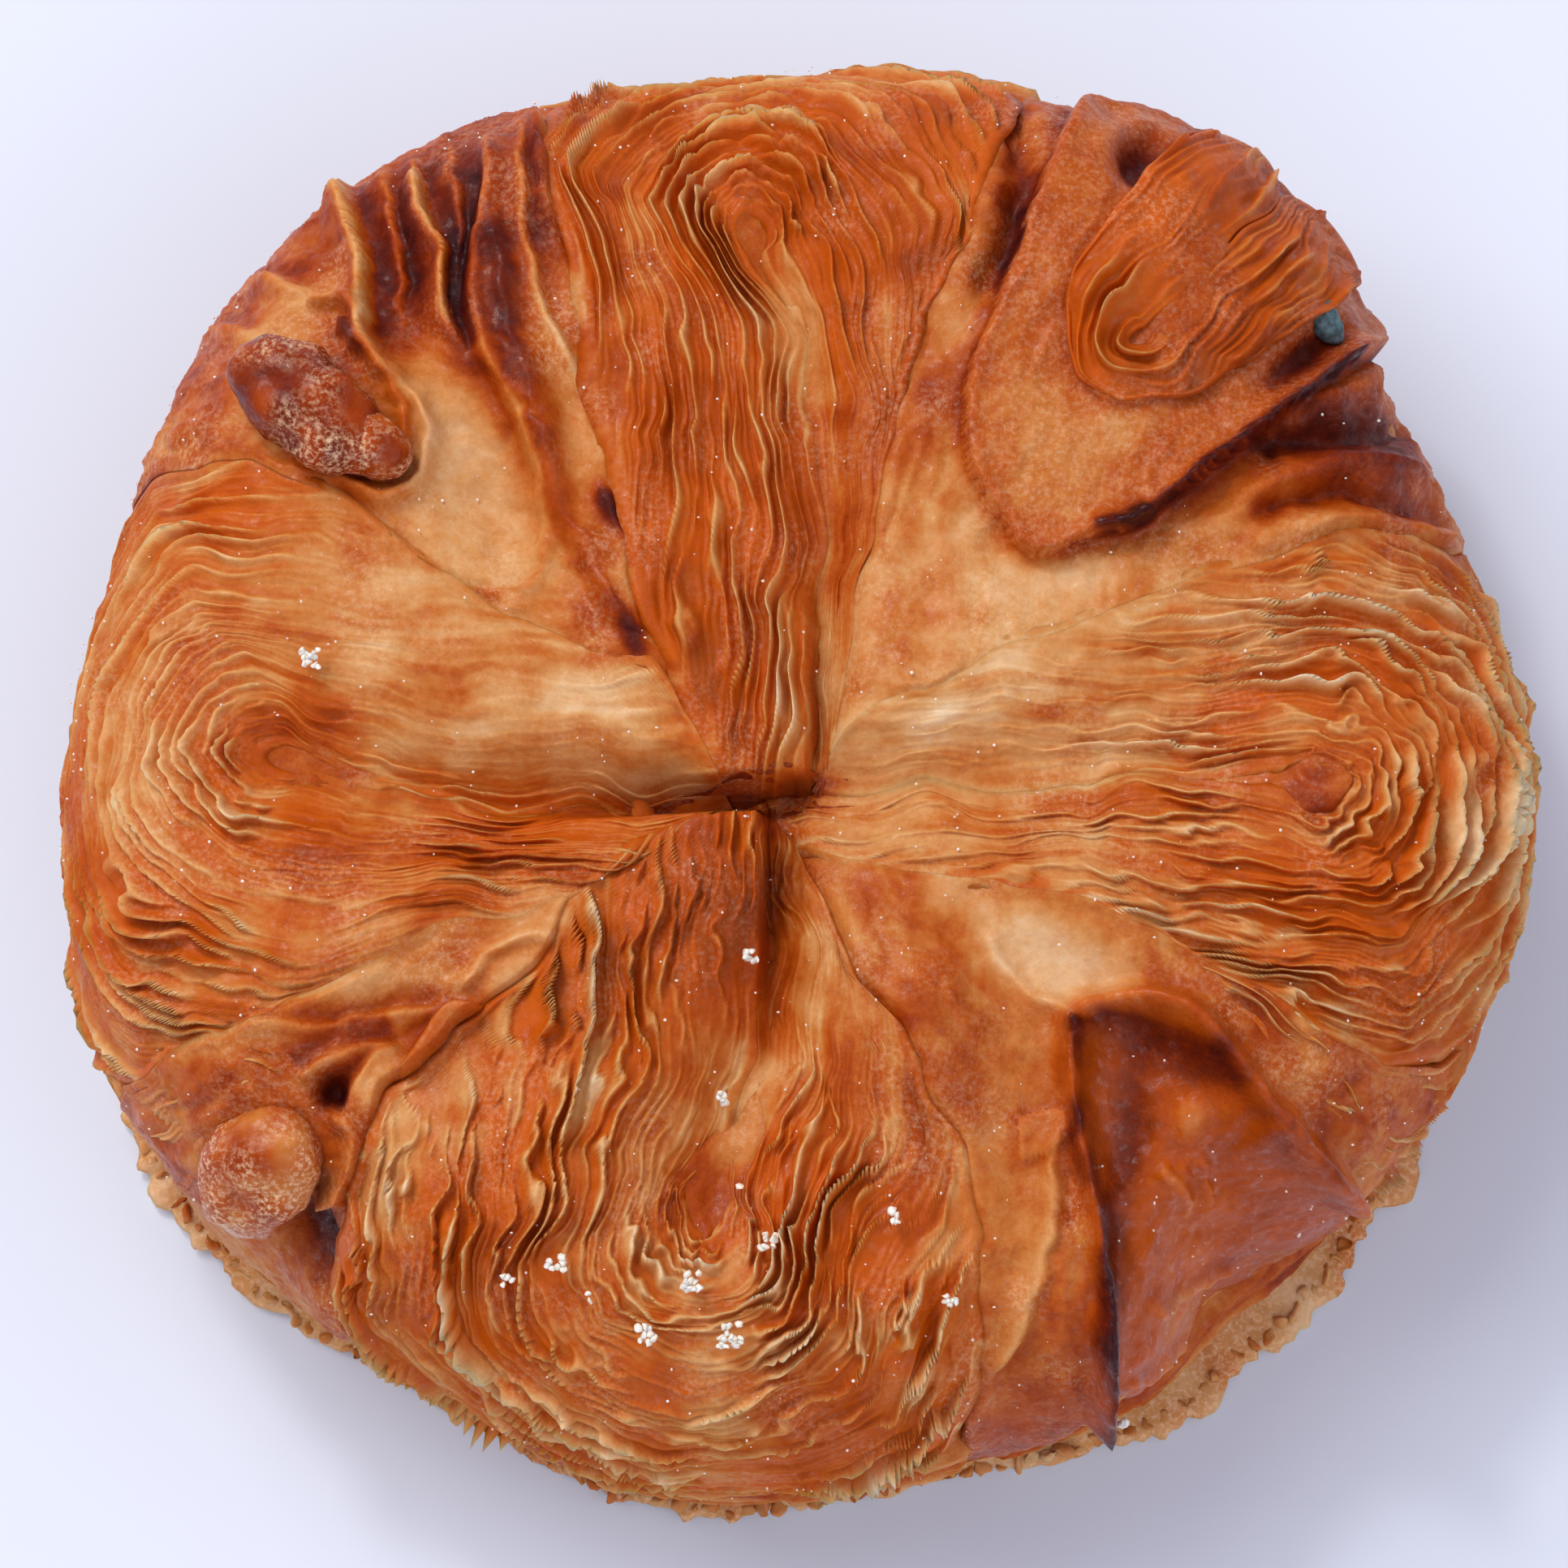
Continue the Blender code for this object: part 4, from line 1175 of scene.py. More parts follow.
@dataclass
class FoldedCorner:
    """Skin between two edges on the plan, with pleats and flaps worked into it, as a thin closed sheet."""

    name: str
    left: Pairs
    right: Pairs
    features: tuple[Ridge | Plate | Patch, ...] = ()
    stations: int = 216
    across: int = 130
    tucks: tuple[float, float] = (0.3, 0.3)
    fibres: float = 0.08
    hem: float = 0.0
    seed: int = 1
    thickness: float = 0.9
    under_step: int = 10
    swells: Noises = ((0.4, 4.5, 1), (0.14, 1.5, 3), (0.06, 0.6, 2))
    mottles: Noises = ((0.1, 3.4, 6), (0.07, 1.3, 7))

    def build(self, form: CakeForm, material: bpy.types.Material) -> bpy.types.Object:
        """Make the corner.

        Args:
            form: Shape of the cake.
            material: Finish of the skin.

        Returns:
            The corner's object.
        """
        share = np.linspace(0.0, 1.0, self.stations) ** 0.85
        left, right = spline(self.left, share), spline(self.right, share)
        over = np.linspace(0.0, 1.0, self.across)
        plan = meander(left[:, None] + (right - left)[:, None] * over[None, :, None])
        tone, gloss, _ = form.browning(plan)
        width = np.linalg.norm(right - left, axis=1)[:, None]
        length = np.linalg.norm(np.diff(left, axis=0), axis=1).sum()
        across_fibres, along_fibres = over[None, :] * width / 0.7, share[:, None] * length / 3.5
        grain = np.stack(np.broadcast_arrays(across_fibres, along_fibres), axis=-1)
        grain = grain + 1.2 * lattice_noise(plan, 2.2, self.seed + 4)[..., None]
        fibre = lattice_noise(grain, 1.0, self.seed)
        wrinkle = 0.22 * (0.3 - np.abs(lattice_noise(grain * 0.45, 1.0, self.seed + 5)))
        lift = self.fibres * fibre + noise_sum(plan, self.swells, self.seed) + wrinkle
        tone = tone + 0.06 * fibre + noise_sum(plan, self.mottles, self.seed)
        gloss = gloss + 0.4 * lattice_noise(plan, 2.6, self.seed + 8)
        frost = np.clip(0.1 + 0.4 * lattice_noise(plan, 3.2, self.seed + 9), 0.0, 0.45)
        skin = SkinField(plan, lift, tone, gloss, frost)
        for feature in self.features:
            feature.apply(skin)
        for side, tuck in zip((over[None, :], 1.0 - over[None, :]), self.tucks):
            skin.lift *= smooth_step(side * width / 0.8)
            skin.lift -= tuck * np.exp(-(side * width / 0.5) ** 2)
            # Painted shade darkens the skin along an edge that tucks under its neighbour.
            skin.tone += 0.1 * tuck * np.exp(-(side * width / 0.6) ** 2)
        skin.lift -= self.hem * smooth_step((share[:, None] - 0.93) / 0.07)
        points = form.surface(plan, skin.lift)
        points[..., 2] = np.maximum(points[..., 2], 0.15)
        # The underside has fewer points, so it follows the lowest place within its step.
        low = skin.lift.copy()
        for step in range(1, self.under_step + 1):
            low[:, step:] = np.minimum(low[:, step:], skin.lift[:, :-step])
            low[:, :-step] = np.minimum(low[:, :-step], skin.lift[:, step:])
        under = form.surface(plan, low - self.thickness)
        under[..., 2] = np.maximum(under[..., 2], 0.1)
        ring = np.concatenate([points, under[:, ::-self.under_step]], axis=1)
        glaze = np.clip(skin.gloss, 0.0, 1.0)
        dry = (1.0 - 0.85 * glaze) * smooth_step((0.9 - skin.tone) / 0.25)
        values = {"tone": skin.tone, "gloss": glaze, "frost": skin.frost * dry,
                  "warm": 0.4 * glaze * smooth_step((0.9 - skin.tone) / 0.2)}
        tones = {key: np.concatenate([v, v[:, ::-self.under_step]], axis=1).ravel()
                 for key, v in values.items()}
        faces = tube_faces(self.stations, ring.shape[1])
        return mesh_object(self.name, ring.reshape(-1, 3), faces, tones, material)


NORTH_WEST = FoldedCorner(
    "corner_nw",
    (TIP_NW, *WEST_UPPER, (-52.0, 21.0), (-62.0, 25.0), (-70.0, 27.0)),
    (TIP_NW, *NORTH_LEFT, (-18.0, 46.0), (-21.0, 58.0), (-24.0, 70.0)),
    (
        Patch("curtain_brown", -25.0, 38.0, 13.0, 11.0, 30, 0.76, 0.8),
        Patch("tissue", -34.5, 30.0, 5.0, 3.0, 60, 0.3, 0.7),
        # Painted shade in the hollows between the curtain's pleats.
        Patch("curtain_hollow_ab", -26.6, 33.0, 7.0, 2.0, 105, 0.86, 0.8, rise=-0.9),
        Patch("curtain_hollow_bc", -22.4, 32.0, 6.0, 0.9, 95, 0.86, 0.7, rise=-0.5),
        Patch("pocket_floor", -13.8, 22.5, 8.0, 2.4, 100, 0.46, 0.9, rise=-0.4),
        Patch("tongue", -21.2, 17.6, 8.2, 3.6, 116, 0.3, 1.0, rise=0.5),
        Patch("tongue_foot", -21.0, 12.6, 4.4, 2.2, -10, 0.34, 1.0, rise=0.5),
        Ridge(((-24.6, 11.2), (-21.6, 9.6), (-18.4, 9.8), (-16.6, 11.6), (-16.2, 14.4)), 0.6, 0.3, 0.8,
              0.12, 0.3),
        # Groove under the tongue, with painted shadow along it.
        Ridge(((-31.0, 17.4), (-27.2, 13.7), (-24.5, 11.3), (-21.5, 9.3), (-18.5, 9.0)), -0.9, 0.9, 0.7,
              0.2, 0.9),
        Ridge(((-34.5, 46.0), (-31.8, 39.6), (-29.9, 34.2), (-29.0, 30.4), (-28.6, 27.6), (-27.4, 25.0),
              (-26.0, 22.6)), 2.0, 0.3, 1.6, -0.42, 0.5, 0.16, ends=0.3),
        Ridge(((-30.5, 46.0), (-28.4, 39.0), (-27.2, 34.5), (-26.6, 30.6), (-26.0, 27.0)), 0.9, 0.25, 1.0,
              -0.24, 0.3, 0.12, ends=0.4),
        Ridge(((-24.6, 46.0), (-23.2, 39.0), (-22.6, 35.0), (-22.3, 31.0), (-21.6, 27.6)), 0.8, 0.25, 0.9,
              -0.2, 0.28, 0.12, ends=0.4),
        Ridge(((-19.2, 47.0), (-18.4, 39.6), (-17.6, 33.8), (-16.4, 28.6), (-14.4, 24.6), (-13.0, 21.0)),
              0.9, 0.3, 0.9, -0.26, 0.3, 0.14, ends=0.3),
        Ridge(((-27.5, 45.0), (-25.8, 38.8), (-24.7, 36.1), (-23.5, 33.3), (-23.4, 29.9), (-22.7, 27.6),
              (-21.0, 25.4)), 1.8, 0.25, 1.5, -0.42, 0.34, 0.16, ends=0.3),
        Ridge(((-21.5, 46.0), (-20.8, 38.2), (-21.4, 34.5), (-21.4, 30.5), (-20.4, 25.7), (-18.8, 23.4),
              (-17.8, 20.9), (-17.0, 18.1), (-16.4, 14.4), (-16.6, 11.6)), 1.6, 1.6, 0.45, -0.2, 0.35, 0.12,
              ends=0.22),
        Ridge(((-20.2, 37.0), (-19.2, 30.6), (-18.2, 26.0), (-16.6, 21.0), (-15.4, 15.7), (-13.5, 12.0),
              (-11.6, 8.2), (-10.1, 6.0)), 1.2, 1.2, 0.8, 0.22, 1.3, 0.0, 0.3),
        Ridge(((-18.0, 50.0), (-16.6, 41.0), (-15.6, 36.0), (-13.8, 33.0), (-12.4, 30.0), (-11.8, 26.0),
              (-10.4, 21.0), (-8.8, 15.0)), 1.4, 0.6, 1.4, -0.28, 0.55, 0.08),
        Ridge(((-34.0, 31.0), (-31.0, 30.8), (-29.2, 28.6), (-27.6, 26.0), (-26.0, 23.8), (-24.6, 21.8),
              (-24.3, 19.7), (-24.7, 17.9), (-26.0, 16.7), (-28.0, 16.4), (-31.0, 17.6)), 1.5, 0.7, 0.45,
              -0.08, 0.5, 0.1, 0.3, 0.05),
        Ridge(((-31.0, 28.6), (-29.0, 26.6), (-27.4, 24.4), (-26.0, 22.2), (-25.6, 20.4), (-26.2, 18.8),
              (-28.0, 18.0)), 1.3, 0.5, 0.5, 0.12, 0.5, 0.0, 0.5, 0.05),
        Ridge(((-42.5, 38.0), (-39.5, 36.0), (-36.0, 33.5), (-33.0, 31.0)), 1.1, 0.5, 1.2, -0.16, 0.7, 0.1,
              ends=0.45),
        Ridge(((-45.0, 34.0), (-41.0, 31.5), (-38.0, 29.5), (-35.0, 28.0)), 0.9, 0.5, 1.0, -0.1, 0.7, 0.1,
              ends=0.45),
        Patch("tip_dark_a", -12.0, 15.3, 1.7, 0.8, -60, 0.97, 0.95, rise=0.5),
        Patch("tip_dark_b", -10.6, 6.7, 1.8, 0.8, -65, 0.97, 0.9, rise=0.4),
    ), tucks=(0.0, 0.7), fibres=0.16, hem=1.2, seed=101)

NORTH_EAST = FoldedCorner(
    "corner_ne",
    (TIP_NE, *NORTH_RIGHT, (17.0, 48.0), (22.0, 60.0), (26.0, 69.5)),
    (TIP_NE, *EAST_UPPER, (50.0, 16.0), (61.0, 20.0), (71.0, 23.0)),
    (
        Patch("rim_brown", 34.0, 40.0, 14.0, 20.0, 45, 0.7, 0.6),
        Patch("under_tongue_pale", 17.5, 10.2, 5.0, 1.6, 10, 0.26, 0.8),
        # Grooves (negative rise) get painted shade along their bottoms.
        Ridge(((15.0, 50.0), (15.8, 43.0), (15.6, 37.5), (14.2, 33.0), (12.8, 29.0)), -1.6, 1.3, 1.1, 0.22,
              1.2),
        Ridge(((30.0, 12.4), (34.0, 14.2), (39.4, 14.6), (43.0, 14.6), (50.0, 16.0)), 0.9, 1.0, 1.2, -0.08,
              1.0),
        Ridge(((30.0, 15.0), (34.0, 16.0), (38.2, 16.9), (43.1, 17.3), (52.0, 19.0)), -1.1, 0.9, 0.9, 0.16,
              0.9),
        Ridge(((26.0, 13.4), (29.6, 15.0), (32.6, 17.4), (36.3, 18.8), (41.8, 19.9), (49.0, 22.0)), 1.4,
              1.1, 1.1, -0.06, 1.0, ends=0.3),
        Ridge(((31.0, 19.4), (34.5, 20.6), (38.0, 21.6), (42.2, 23.2), (50.0, 28.0)), -1.6, 1.2, 1.1, 0.24,
              1.2),
        Ridge(((34.0, 22.2), (37.6, 24.6), (41.0, 27.0), (46.0, 31.5)), 1.2, 0.9, 1.2, -0.02, 1.0,
              ends=0.35),
        Plate(((20.6, 47.0), (17.0, 38.2), (15.2, 32.9), (13.2, 27.6), (11.9, 24.0), (11.7, 20.3),
              (12.3, 17.0), (14.0, 14.3), (15.7, 12.1), (17.5, 12.0), (20.2, 13.3), (22.6, 13.7),
              (25.1, 15.7), (27.9, 18.0), (31.7, 21.0), (35.0, 24.0), (40.5, 28.6), (45.0, 33.0),
              (38.0, 41.0), (30.0, 47.0)), 2.0, 0.6, edge=0.6, rim=0.35, rim_width=0.7, rim_tone=0.05,
              gloss=0.35, frost=0.3, shade=0.2),
        Patch("tongue_pale", 17.2, 19.6, 5.5, 3.0, 105, 0.42, 0.75),
        Patch("tongue_pale_inner", 21.6, 20.2, 2.8, 1.6, 40, 0.34, 0.7),
        Ridge(((22.0, 13.9), (24.8, 15.6), (27.9, 18.2), (31.7, 21.2), (35.2, 24.2), (40.0, 28.0)), 1.0,
              0.35, 0.35, 0.3, 0.35, 0.0, 0.3, 0.04),
        Ridge(((19.8, 13.7), (22.0, 14.4), (24.2, 15.4)), 0.7, 0.6, 0.6, 0.34, 0.6, 0.0, 0.8),
        Plate(((30.4, 47.5), (26.4, 41.0), (23.6, 36.6), (21.1, 32.8), (19.4, 30.1), (18.8, 27.4),
              (19.2, 24.9), (20.3, 23.2), (22.3, 22.1), (24.2, 22.7), (27.1, 24.0), (30.4, 26.3),
              (34.0, 29.0), (38.0, 33.0), (38.0, 40.0), (35.0, 46.0)), 0.6, 0.7, edge=0.5, rim=0.0,
              rim_width=0.45, rim_tone=-0.12, gloss=0.6, shade=0.16),
        Patch("pocket_pale", 20.2, 25.8, 2.6, 0.9, 110, 0.36, 0.7),
        # Painted shade in the deep hollows under the folds.
        Patch("hollow_a", 24.4, 40.6, 2.8, 1.8, 60, 0.95, 0.95, rise=-2.4),
        Patch("hollow_d", 36.0, 27.4, 5.0, 1.2, 42, 0.93, 0.95, rise=-1.6),
        Patch("pleats_brown", 40.0, 21.5, 8.0, 3.6, 20, 0.92, 0.9),
    ), tucks=(0.25, 0.0), hem=1.2, seed=111)

SOUTH_EAST = FoldedCorner(
    "corner_se",
    (TIP_SE, *SOUTH_RIGHT, (13.0, -48.0), (14.5, -60.0), (17.0, -72.5)),
    (TIP_SE, *EAST_LOWER, (46.0, -24.0), (57.0, -30.0), (67.0, -34.0)),
    (
        Patch("skin_strip", 15.4, -32.0, 16.0, 2.2, 92, 0.5, 0.9),
        Patch("pale_hollow", 18.4, -16.2, 4.8, 2.2, -24, 0.2, 1.0, rise=-0.9),
        Ridge(((12.8, -13.0), (14.0, -15.4), (16.4, -17.6), (18.6, -19.0)), 0.5, 0.5, 0.5, -0.14, 0.4),
        Ridge(((17.8, -25.0), (17.3, -30.3), (17.2, -33.4), (16.6, -37.3), (15.6, -41.1), (14.0, -46.0)),
              0.9, 0.6, 1.0, -0.14, 0.6, 0.1),
        Plate(((15.1, -25.7), (17.8, -25.2), (17.7, -27.4), (15.3, -28.3)), 0.35, 0.55, rim=0.2),
        Patch("copper_flange", 17.5, -56.0, 12.0, 6.0, 70, 0.76, 0.85, 0.0, 0.5),
        Plate(((18.7, -19.6), (20.5, -18.6), (23.8, -19.0), (28.0, -21.0), (31.0, -25.0), (35.2, -29.4),
              (44.0, -36.0), (52.0, -46.0), (44.0, -60.0), (30.0, -68.0), (23.5, -66.0), (22.6, -50.0),
              (21.8, -40.1), (20.4, -32.0), (19.2, -25.0)), -0.6, 0.75, edge=0.8, rim=0.0, gloss=1.0,
              shade=0.0),
        Patch("lump_a", 27.5, -31.5, 2.6, 1.5, -50, 0.6, 0.6, 0.0, 1.0, 0.7),
        Patch("lump_b", 32.0, -35.0, 2.8, 1.3, -40, 0.56, 0.6, 0.0, 1.0, 0.6),
        Patch("lump_c", 25.4, -37.0, 2.4, 1.3, -70, 0.74, 0.6, 0.0, 1.0, 0.5),
        Patch("deep_dark", 22.2, -33.0, 11.0, 1.7, 86, 0.92, 0.9, 0.0, 1.0, -0.8),
        Patch("top_dark", 25.5, -21.3, 5.6, 1.5, -26, 0.88, 0.85, 0.0, 1.0, -0.3),
        Patch("amber", 29.5, -36.5, 9.0, 3.4, -48, 0.64, 0.8, 0.0, 1.0, 0.4),
        Patch("amber_low", 33.0, -48.0, 9.0, 5.0, -62, 0.5, 0.85, 0.0, 0.9),
        Patch("blister", 26.9, -26.0, 1.7, 1.2, -70, 0.46, 0.9, 0.0, 1.0, 0.7),
        Ridge(((18.5, -20.4), (18.9, -18.7), (21.0, -17.9), (23.6, -17.9), (26.2, -18.8), (28.6, -20.6),
              (31.0, -23.8), (34.2, -27.4), (38.8, -31.0), (42.0, -33.4)), 3.0, 0.8, 1.7, 0.16, 1.2, 0.0,
              0.8, 0.04),
        Ridge(((18.6, -18.8), (18.5, -22.5), (18.9, -26.3), (19.8, -30.3), (20.6, -33.6), (21.2, -37.4),
              (21.8, -42.5), (22.6, -47.0), (23.6, -52.0)), 3.2, 1.1, 0.7, 0.2, 0.8, 0.0, 0.9, 0.04),
        Ridge(((25.0, -29.0), (27.0, -31.0), (29.0, -33.5), (30.5, -36.0)), 0.5, 0.4, 0.5, -0.12, 0.3, 0.0,
              0.0),
        Ridge(((28.5, -29.0), (30.4, -31.5), (32.0, -34.5)), 0.45, 0.35, 0.5, -0.1, 0.3),
        Ridge(((26.0, -41.0), (30.0, -43.5), (35.0, -44.5), (40.0, -44.0)), 0.7, 0.5, 0.9, -0.14, 0.5, 0.1),
        Ridge(((25.5, -47.5), (30.0, -50.0), (36.0, -51.0)), 0.7, 0.5, 0.9, -0.12, 0.5, 0.1),
    ), tucks=(0.5, 0.0), hem=1.2, seed=121)

SOUTH_WEST = FoldedCorner(
    "corner_sw",
    (*WEST_LOWER, (-53.0, -26.0), (-62.0, -30.0), (-68.0, -32.0)),
    (*SOUTH_LEFT, (-38.0, -56.0), (-41.0, -62.0)),
    (
        Patch("floor_orange", -30.0, -24.0, 12.0, 6.0, 40, 0.66, 0.7),
        Patch("pocket_a", -30.5, -17.2, 7.6, 1.6, 6, 0.3, 1.0, rise=0.5),
        Patch("pocket_b", -17.4, -16.4, 4.4, 2.2, 18, 0.24, 1.0, rise=0.8),
        Patch("petal_a", -28.6, -20.6, 4.0, 1.1, 30, 0.4, 0.9, rise=0.8),
        Patch("petal_b", -27.4, -23.6, 3.0, 1.4, 50, 0.36, 0.9, rise=0.9),
        Ridge(((-38.5, -19.0), (-33.0, -19.6), (-27.5, -19.0), (-22.5, -18.2)), 0.8, 0.35, 0.9, -0.1, 0.35,
              0.2),
        Ridge(((-22.0, -17.6), (-20.5, -15.2), (-17.6, -13.8), (-14.4, -14.0)), 0.8, 0.6, 0.35, -0.12, 0.35,
              0.2),
        Ridge(((-33.0, -23.2), (-29.6, -21.4), (-26.0, -20.6)), 0.8, 0.35, 0.8, -0.1, 0.35, 0.2),
        Ridge(((-29.6, -25.6), (-28.4, -22.6), (-25.6, -20.6)), 0.8, 0.35, 0.8, -0.1, 0.35, 0.2),
        Plate(((-20.1, -18.3), (-19.9, -19.7), (-21.7, -22.7), (-23.8, -24.6), (-26.2, -26.7),
              (-26.8, -25.5), (-25.3, -21.8), (-23.0, -18.3)), 1.8, 0.56, rim=0.25, gloss=0.5),
        Patch("flake_spot", -23.4, -23.0, 1.8, 0.8, 50, 0.9, 0.9, 0.0, 0.8, 0.2),
        # Painted shade in a deep hole.
        Patch("hole", -30.6, -24.0, 1.6, 1.2, 60, 0.94, 0.95, rise=-2.0),
        Patch("caramel_hollow", -36.0, -37.5, 6.0, 2.6, -30, 0.9, 0.95, 0.0, 0.9, -1.8),
        Ridge(((-31.3, -24.8), (-29.2, -26.6), (-29.3, -29.5), (-30.5, -31.8), (-33.3, -33.6),
              (-37.0, -36.0)), 1.2, 0.35, 1.0, -0.1, 0.5, 0.12, 0.3),
        Patch("pale_rim", -49.0, -39.0, 10.0, 4.0, -55, 0.4, 0.8),
    ), tucks=(0.0, 0.8), hem=1.2, seed=131)

EYE_FLOORS = (
    FoldedCorner("eye_north", ((1.2, 24.0), (-1.2, 29.6), (-3.8, 32.6), (-4.2, 35.0), (-2.8, 37.2)),
                 ((1.2, 24.0), (0.8, 30.0), (-0.2, 33.4), (-0.9, 36.0), (-2.8, 37.2)),
                 (Patch("eye", -2.2, 34.2, 4.0, 3.0, 100, 0.62, 0.6, rise=-0.3),),
                 60, 30, (0.3, 0.3), seed=151),
    FoldedCorner("eye_west", ((-22.0, -4.0), (-28.6, -3.4), (-32.4, -3.0), (-35.2, -2.8), (-36.6, -0.8)),
                 ((-22.0, -4.0), (-28.6, -1.2), (-32.0, 0.6), (-35.0, 1.0), (-36.6, -0.8)),
                 (Patch("eye", -33.0, -1.0, 4.0, 3.0, 0, 0.56, 0.6, rise=-0.3),),
                 60, 30, (0.3, 0.3), seed=141),
    FoldedCorner("eye_south", ((-2.2, -21.0), (-4.4, -25.4), (-7.2, -28.4), (-8.2, -31.4), (-6.4, -34.6)),
                 ((-2.2, -21.0), (-1.4, -25.0), (-2.4, -29.0), (-3.4, -32.6), (-6.4, -34.6)),
                 (Patch("eye", -5.4, -31.4, 3.6, 3.0, 80, 0.7, 0.9, gloss=0.5, rise=0.2),
                  Patch("throat", -3.6, -27.0, 2.0, 1.6, 66, 0.42, 0.9)), 70, 36, (0.3, 0.3), seed=144),
    FoldedCorner("eye_east", ((24.0, -2.8), (30.0, -4.2), (33.4, -5.6), (36.2, -5.6), (37.6, -3.4)),
                 ((24.0, -2.8), (30.0, -1.6), (33.4, -0.8), (36.2, -0.8), (37.6, -3.4)),
                 (Patch("eye_dark", 35.6, -4.2, 2.4, 1.6, 40, 0.76, 0.7, rise=0.3),),
                 60, 36, (0.3, 0.3), seed=147),
    FoldedCorner("crease_floor", ((-12.0, -4.0), (-6.0, -3.4), (-1.0, -2.4), (4.0, -2.6)),
                 ((-12.0, -4.6), (-6.0, -5.4), (-1.0, -5.6), (4.0, -4.2)),
                 # Painted shade along the bottom of the crease.
                 (Patch("crease", -2.0, -4.0, 10.0, 4.0, 0, 0.8, 0.9, rise=-0.2),),
                 70, 24, (0.0, 0.0), seed=149),
)


@dataclass
class Crust:
    """Wall and flat sole with the core under the folded layers, as one closed shell."""

    columns: int = 500
    rows: int = 96
    coarse_rows: int = 14
    sink: float = 3.6
    sink_reach: float = 56.0
    sink_fade: float = 6.0
    lobe_clearance: float = 1.6
    corner_clearance: float = 1.5
    foot_share: float = 0.93
    sheet_mm: float = 1.25
    waves: Pairs = ((4.0, 16.0, 0.8), (2.0, 5.5, 0.4), (1.3, 2.6, 0.22))

    def build(self, form: CakeForm, lobes: list[np.ndarray], corners: list[np.ndarray],
              material: bpy.types.Material) -> bpy.types.Object:
        """Make the crust.

        Args:
            form: Shape of the cake.
            lobes: Outlines of the lobes on the plan.
            corners: Outlines of the folded corners on the plan.
            material: Finish of the crust.

        Returns:
            The crust's object.
        """
        angle = np.linspace(0.0, math.tau, self.columns, endpoint=False)
        share = np.concatenate([np.linspace(0.05, 0.72, self.coarse_rows),
                                np.linspace(0.735, 1.0, self.rows - self.coarse_rows)])
        reach_end = form.radius(angle) - form.shoulder_reach + form.shoulder_roll + form.wall_height
        centre = np.array(form.centre)
        rim = np.stack([reach_end * np.cos(angle), reach_end * np.sin(angle)], axis=-1)
        plan = centre + (rim[None] - centre) * share[:, None, None]
        tone, gloss, _ = form.browning(plan)
        reach = np.hypot(plan[..., 0], plan[..., 1])
        lift = -self.sink * smooth_step((self.sink_reach - reach) / self.sink_fade)
        for rings, sunk in ((lobes, self.lobe_clearance), (corners, self.corner_clearance)):
            for ring in rings:
                gap, _ = path_distance(plan, np.vstack([ring, ring[:1]]))
                held = -sunk * smooth_step(np.abs(gap) / 1.6)
                lift = np.where(inside(plan, ring), np.minimum(lift, held), lift)
        fall = smooth_step((share - self.foot_share) / (1.0 - self.foot_share))[:, None]
        streak = np.stack(np.broadcast_arrays(angle[None, :] * 7.0, share[:, None] * 105.0), axis=-1)
        layers = 0.28 * lattice_noise(streak, 1.0, 13) + 0.1 * lattice_noise(plan, 0.7, 14)
        edges, layer_shade = self.wall_layers(reach, angle)
        layers = layers + 0.5 * edges
        rise = form.relief(plan) * (1 - fall) + lift + layers * (1 - 0.6 * fall)
        points = form.rolled(plan) + form.outward(plan) * rise[..., None]
        points[..., 2] = np.maximum(points[..., 2], 0.25)
        tone = tone + 0.08 * lattice_noise(streak, 1.0, 13) + 0.06 * lattice_noise(points, 2.2, 15)
        # Darker toward the foot and paler on layer edges; the layer_shade term is painted shade under each
        # layer's edge.
        tone = tone + 0.16 * (fall - edges + layer_shade)
        top = form.surface(centre[None, :], -self.sink)
        sole_ring = points[-1] * (0.985, 0.985, 0.0)
        sole_mid = sole_ring * (0.5, 0.5, 0.0)
        flat = np.vstack([top, points.reshape(-1, 3), sole_ring, sole_mid, np.zeros((1, 3))])
        spare = 2 * self.columns + 1
        tones = np.concatenate([[0.9], tone.ravel(), np.full(spare, 0.78)])
        glosses = np.concatenate([[0.2], gloss.ravel(), np.full(spare, 0.5)])
        return mesh_object("crust", flat, self.faces(), {"tone": tones, "gloss": glosses}, material)

    def wall_layers(self, reach: np.ndarray, angle: np.ndarray) -> tuple[np.ndarray, np.ndarray]:
        """Edges of the dough layers that run round the wall.

        Args:
            reach: Distance from the middle along the surface, in millimetres.
            angle: Angle of each column in radians.

        Returns:
            Nearness of a layer's edge and of the gap under it, from nought to about one.
        """
        around = np.broadcast_to(angle[None, :] * 50.0, reach.shape)
        flow = np.stack([reach, around], axis=-1)
        place = reach / self.sheet_mm
        for k, (width, length, amount) in enumerate(self.waves):
            place = place + amount * lattice_noise(flow / (width, length), 1.0, 16 + k)
        sheet = np.floor(place)
        share = place - sheet
        stature = np.clip(0.5 + lattice_noise(np.stack([sheet, around / 7.0], axis=-1), 1.0, 19), 0.0, 1.2)
        stature = stature * smooth_step((reach - 44.0) / 5.0)
        return np.exp(-((share - 0.5) / 0.2) ** 2) * stature, np.exp(-((share - 0.96) / 0.14) ** 2) * stature

    def faces(self) -> list:
        """Join the rows, and close them at the top and under the sole.

        Returns:
            Vertex numbers of each face.
        """
        k = np.arange(self.columns)
        pairs = list(zip(k, (k + 1) % self.columns))
        starts = [1 + r * self.columns for r in range(self.rows + 2)]
        end = starts[-1] + self.columns
        faces = [[0, 1 + a, 1 + b] for a, b in pairs]
        for first, second in zip(starts, starts[1:]):
            faces += ring_faces(first, second, self.columns)
        return faces + [[starts[-1] + a, end, starts[-1] + b] for a, b in pairs]


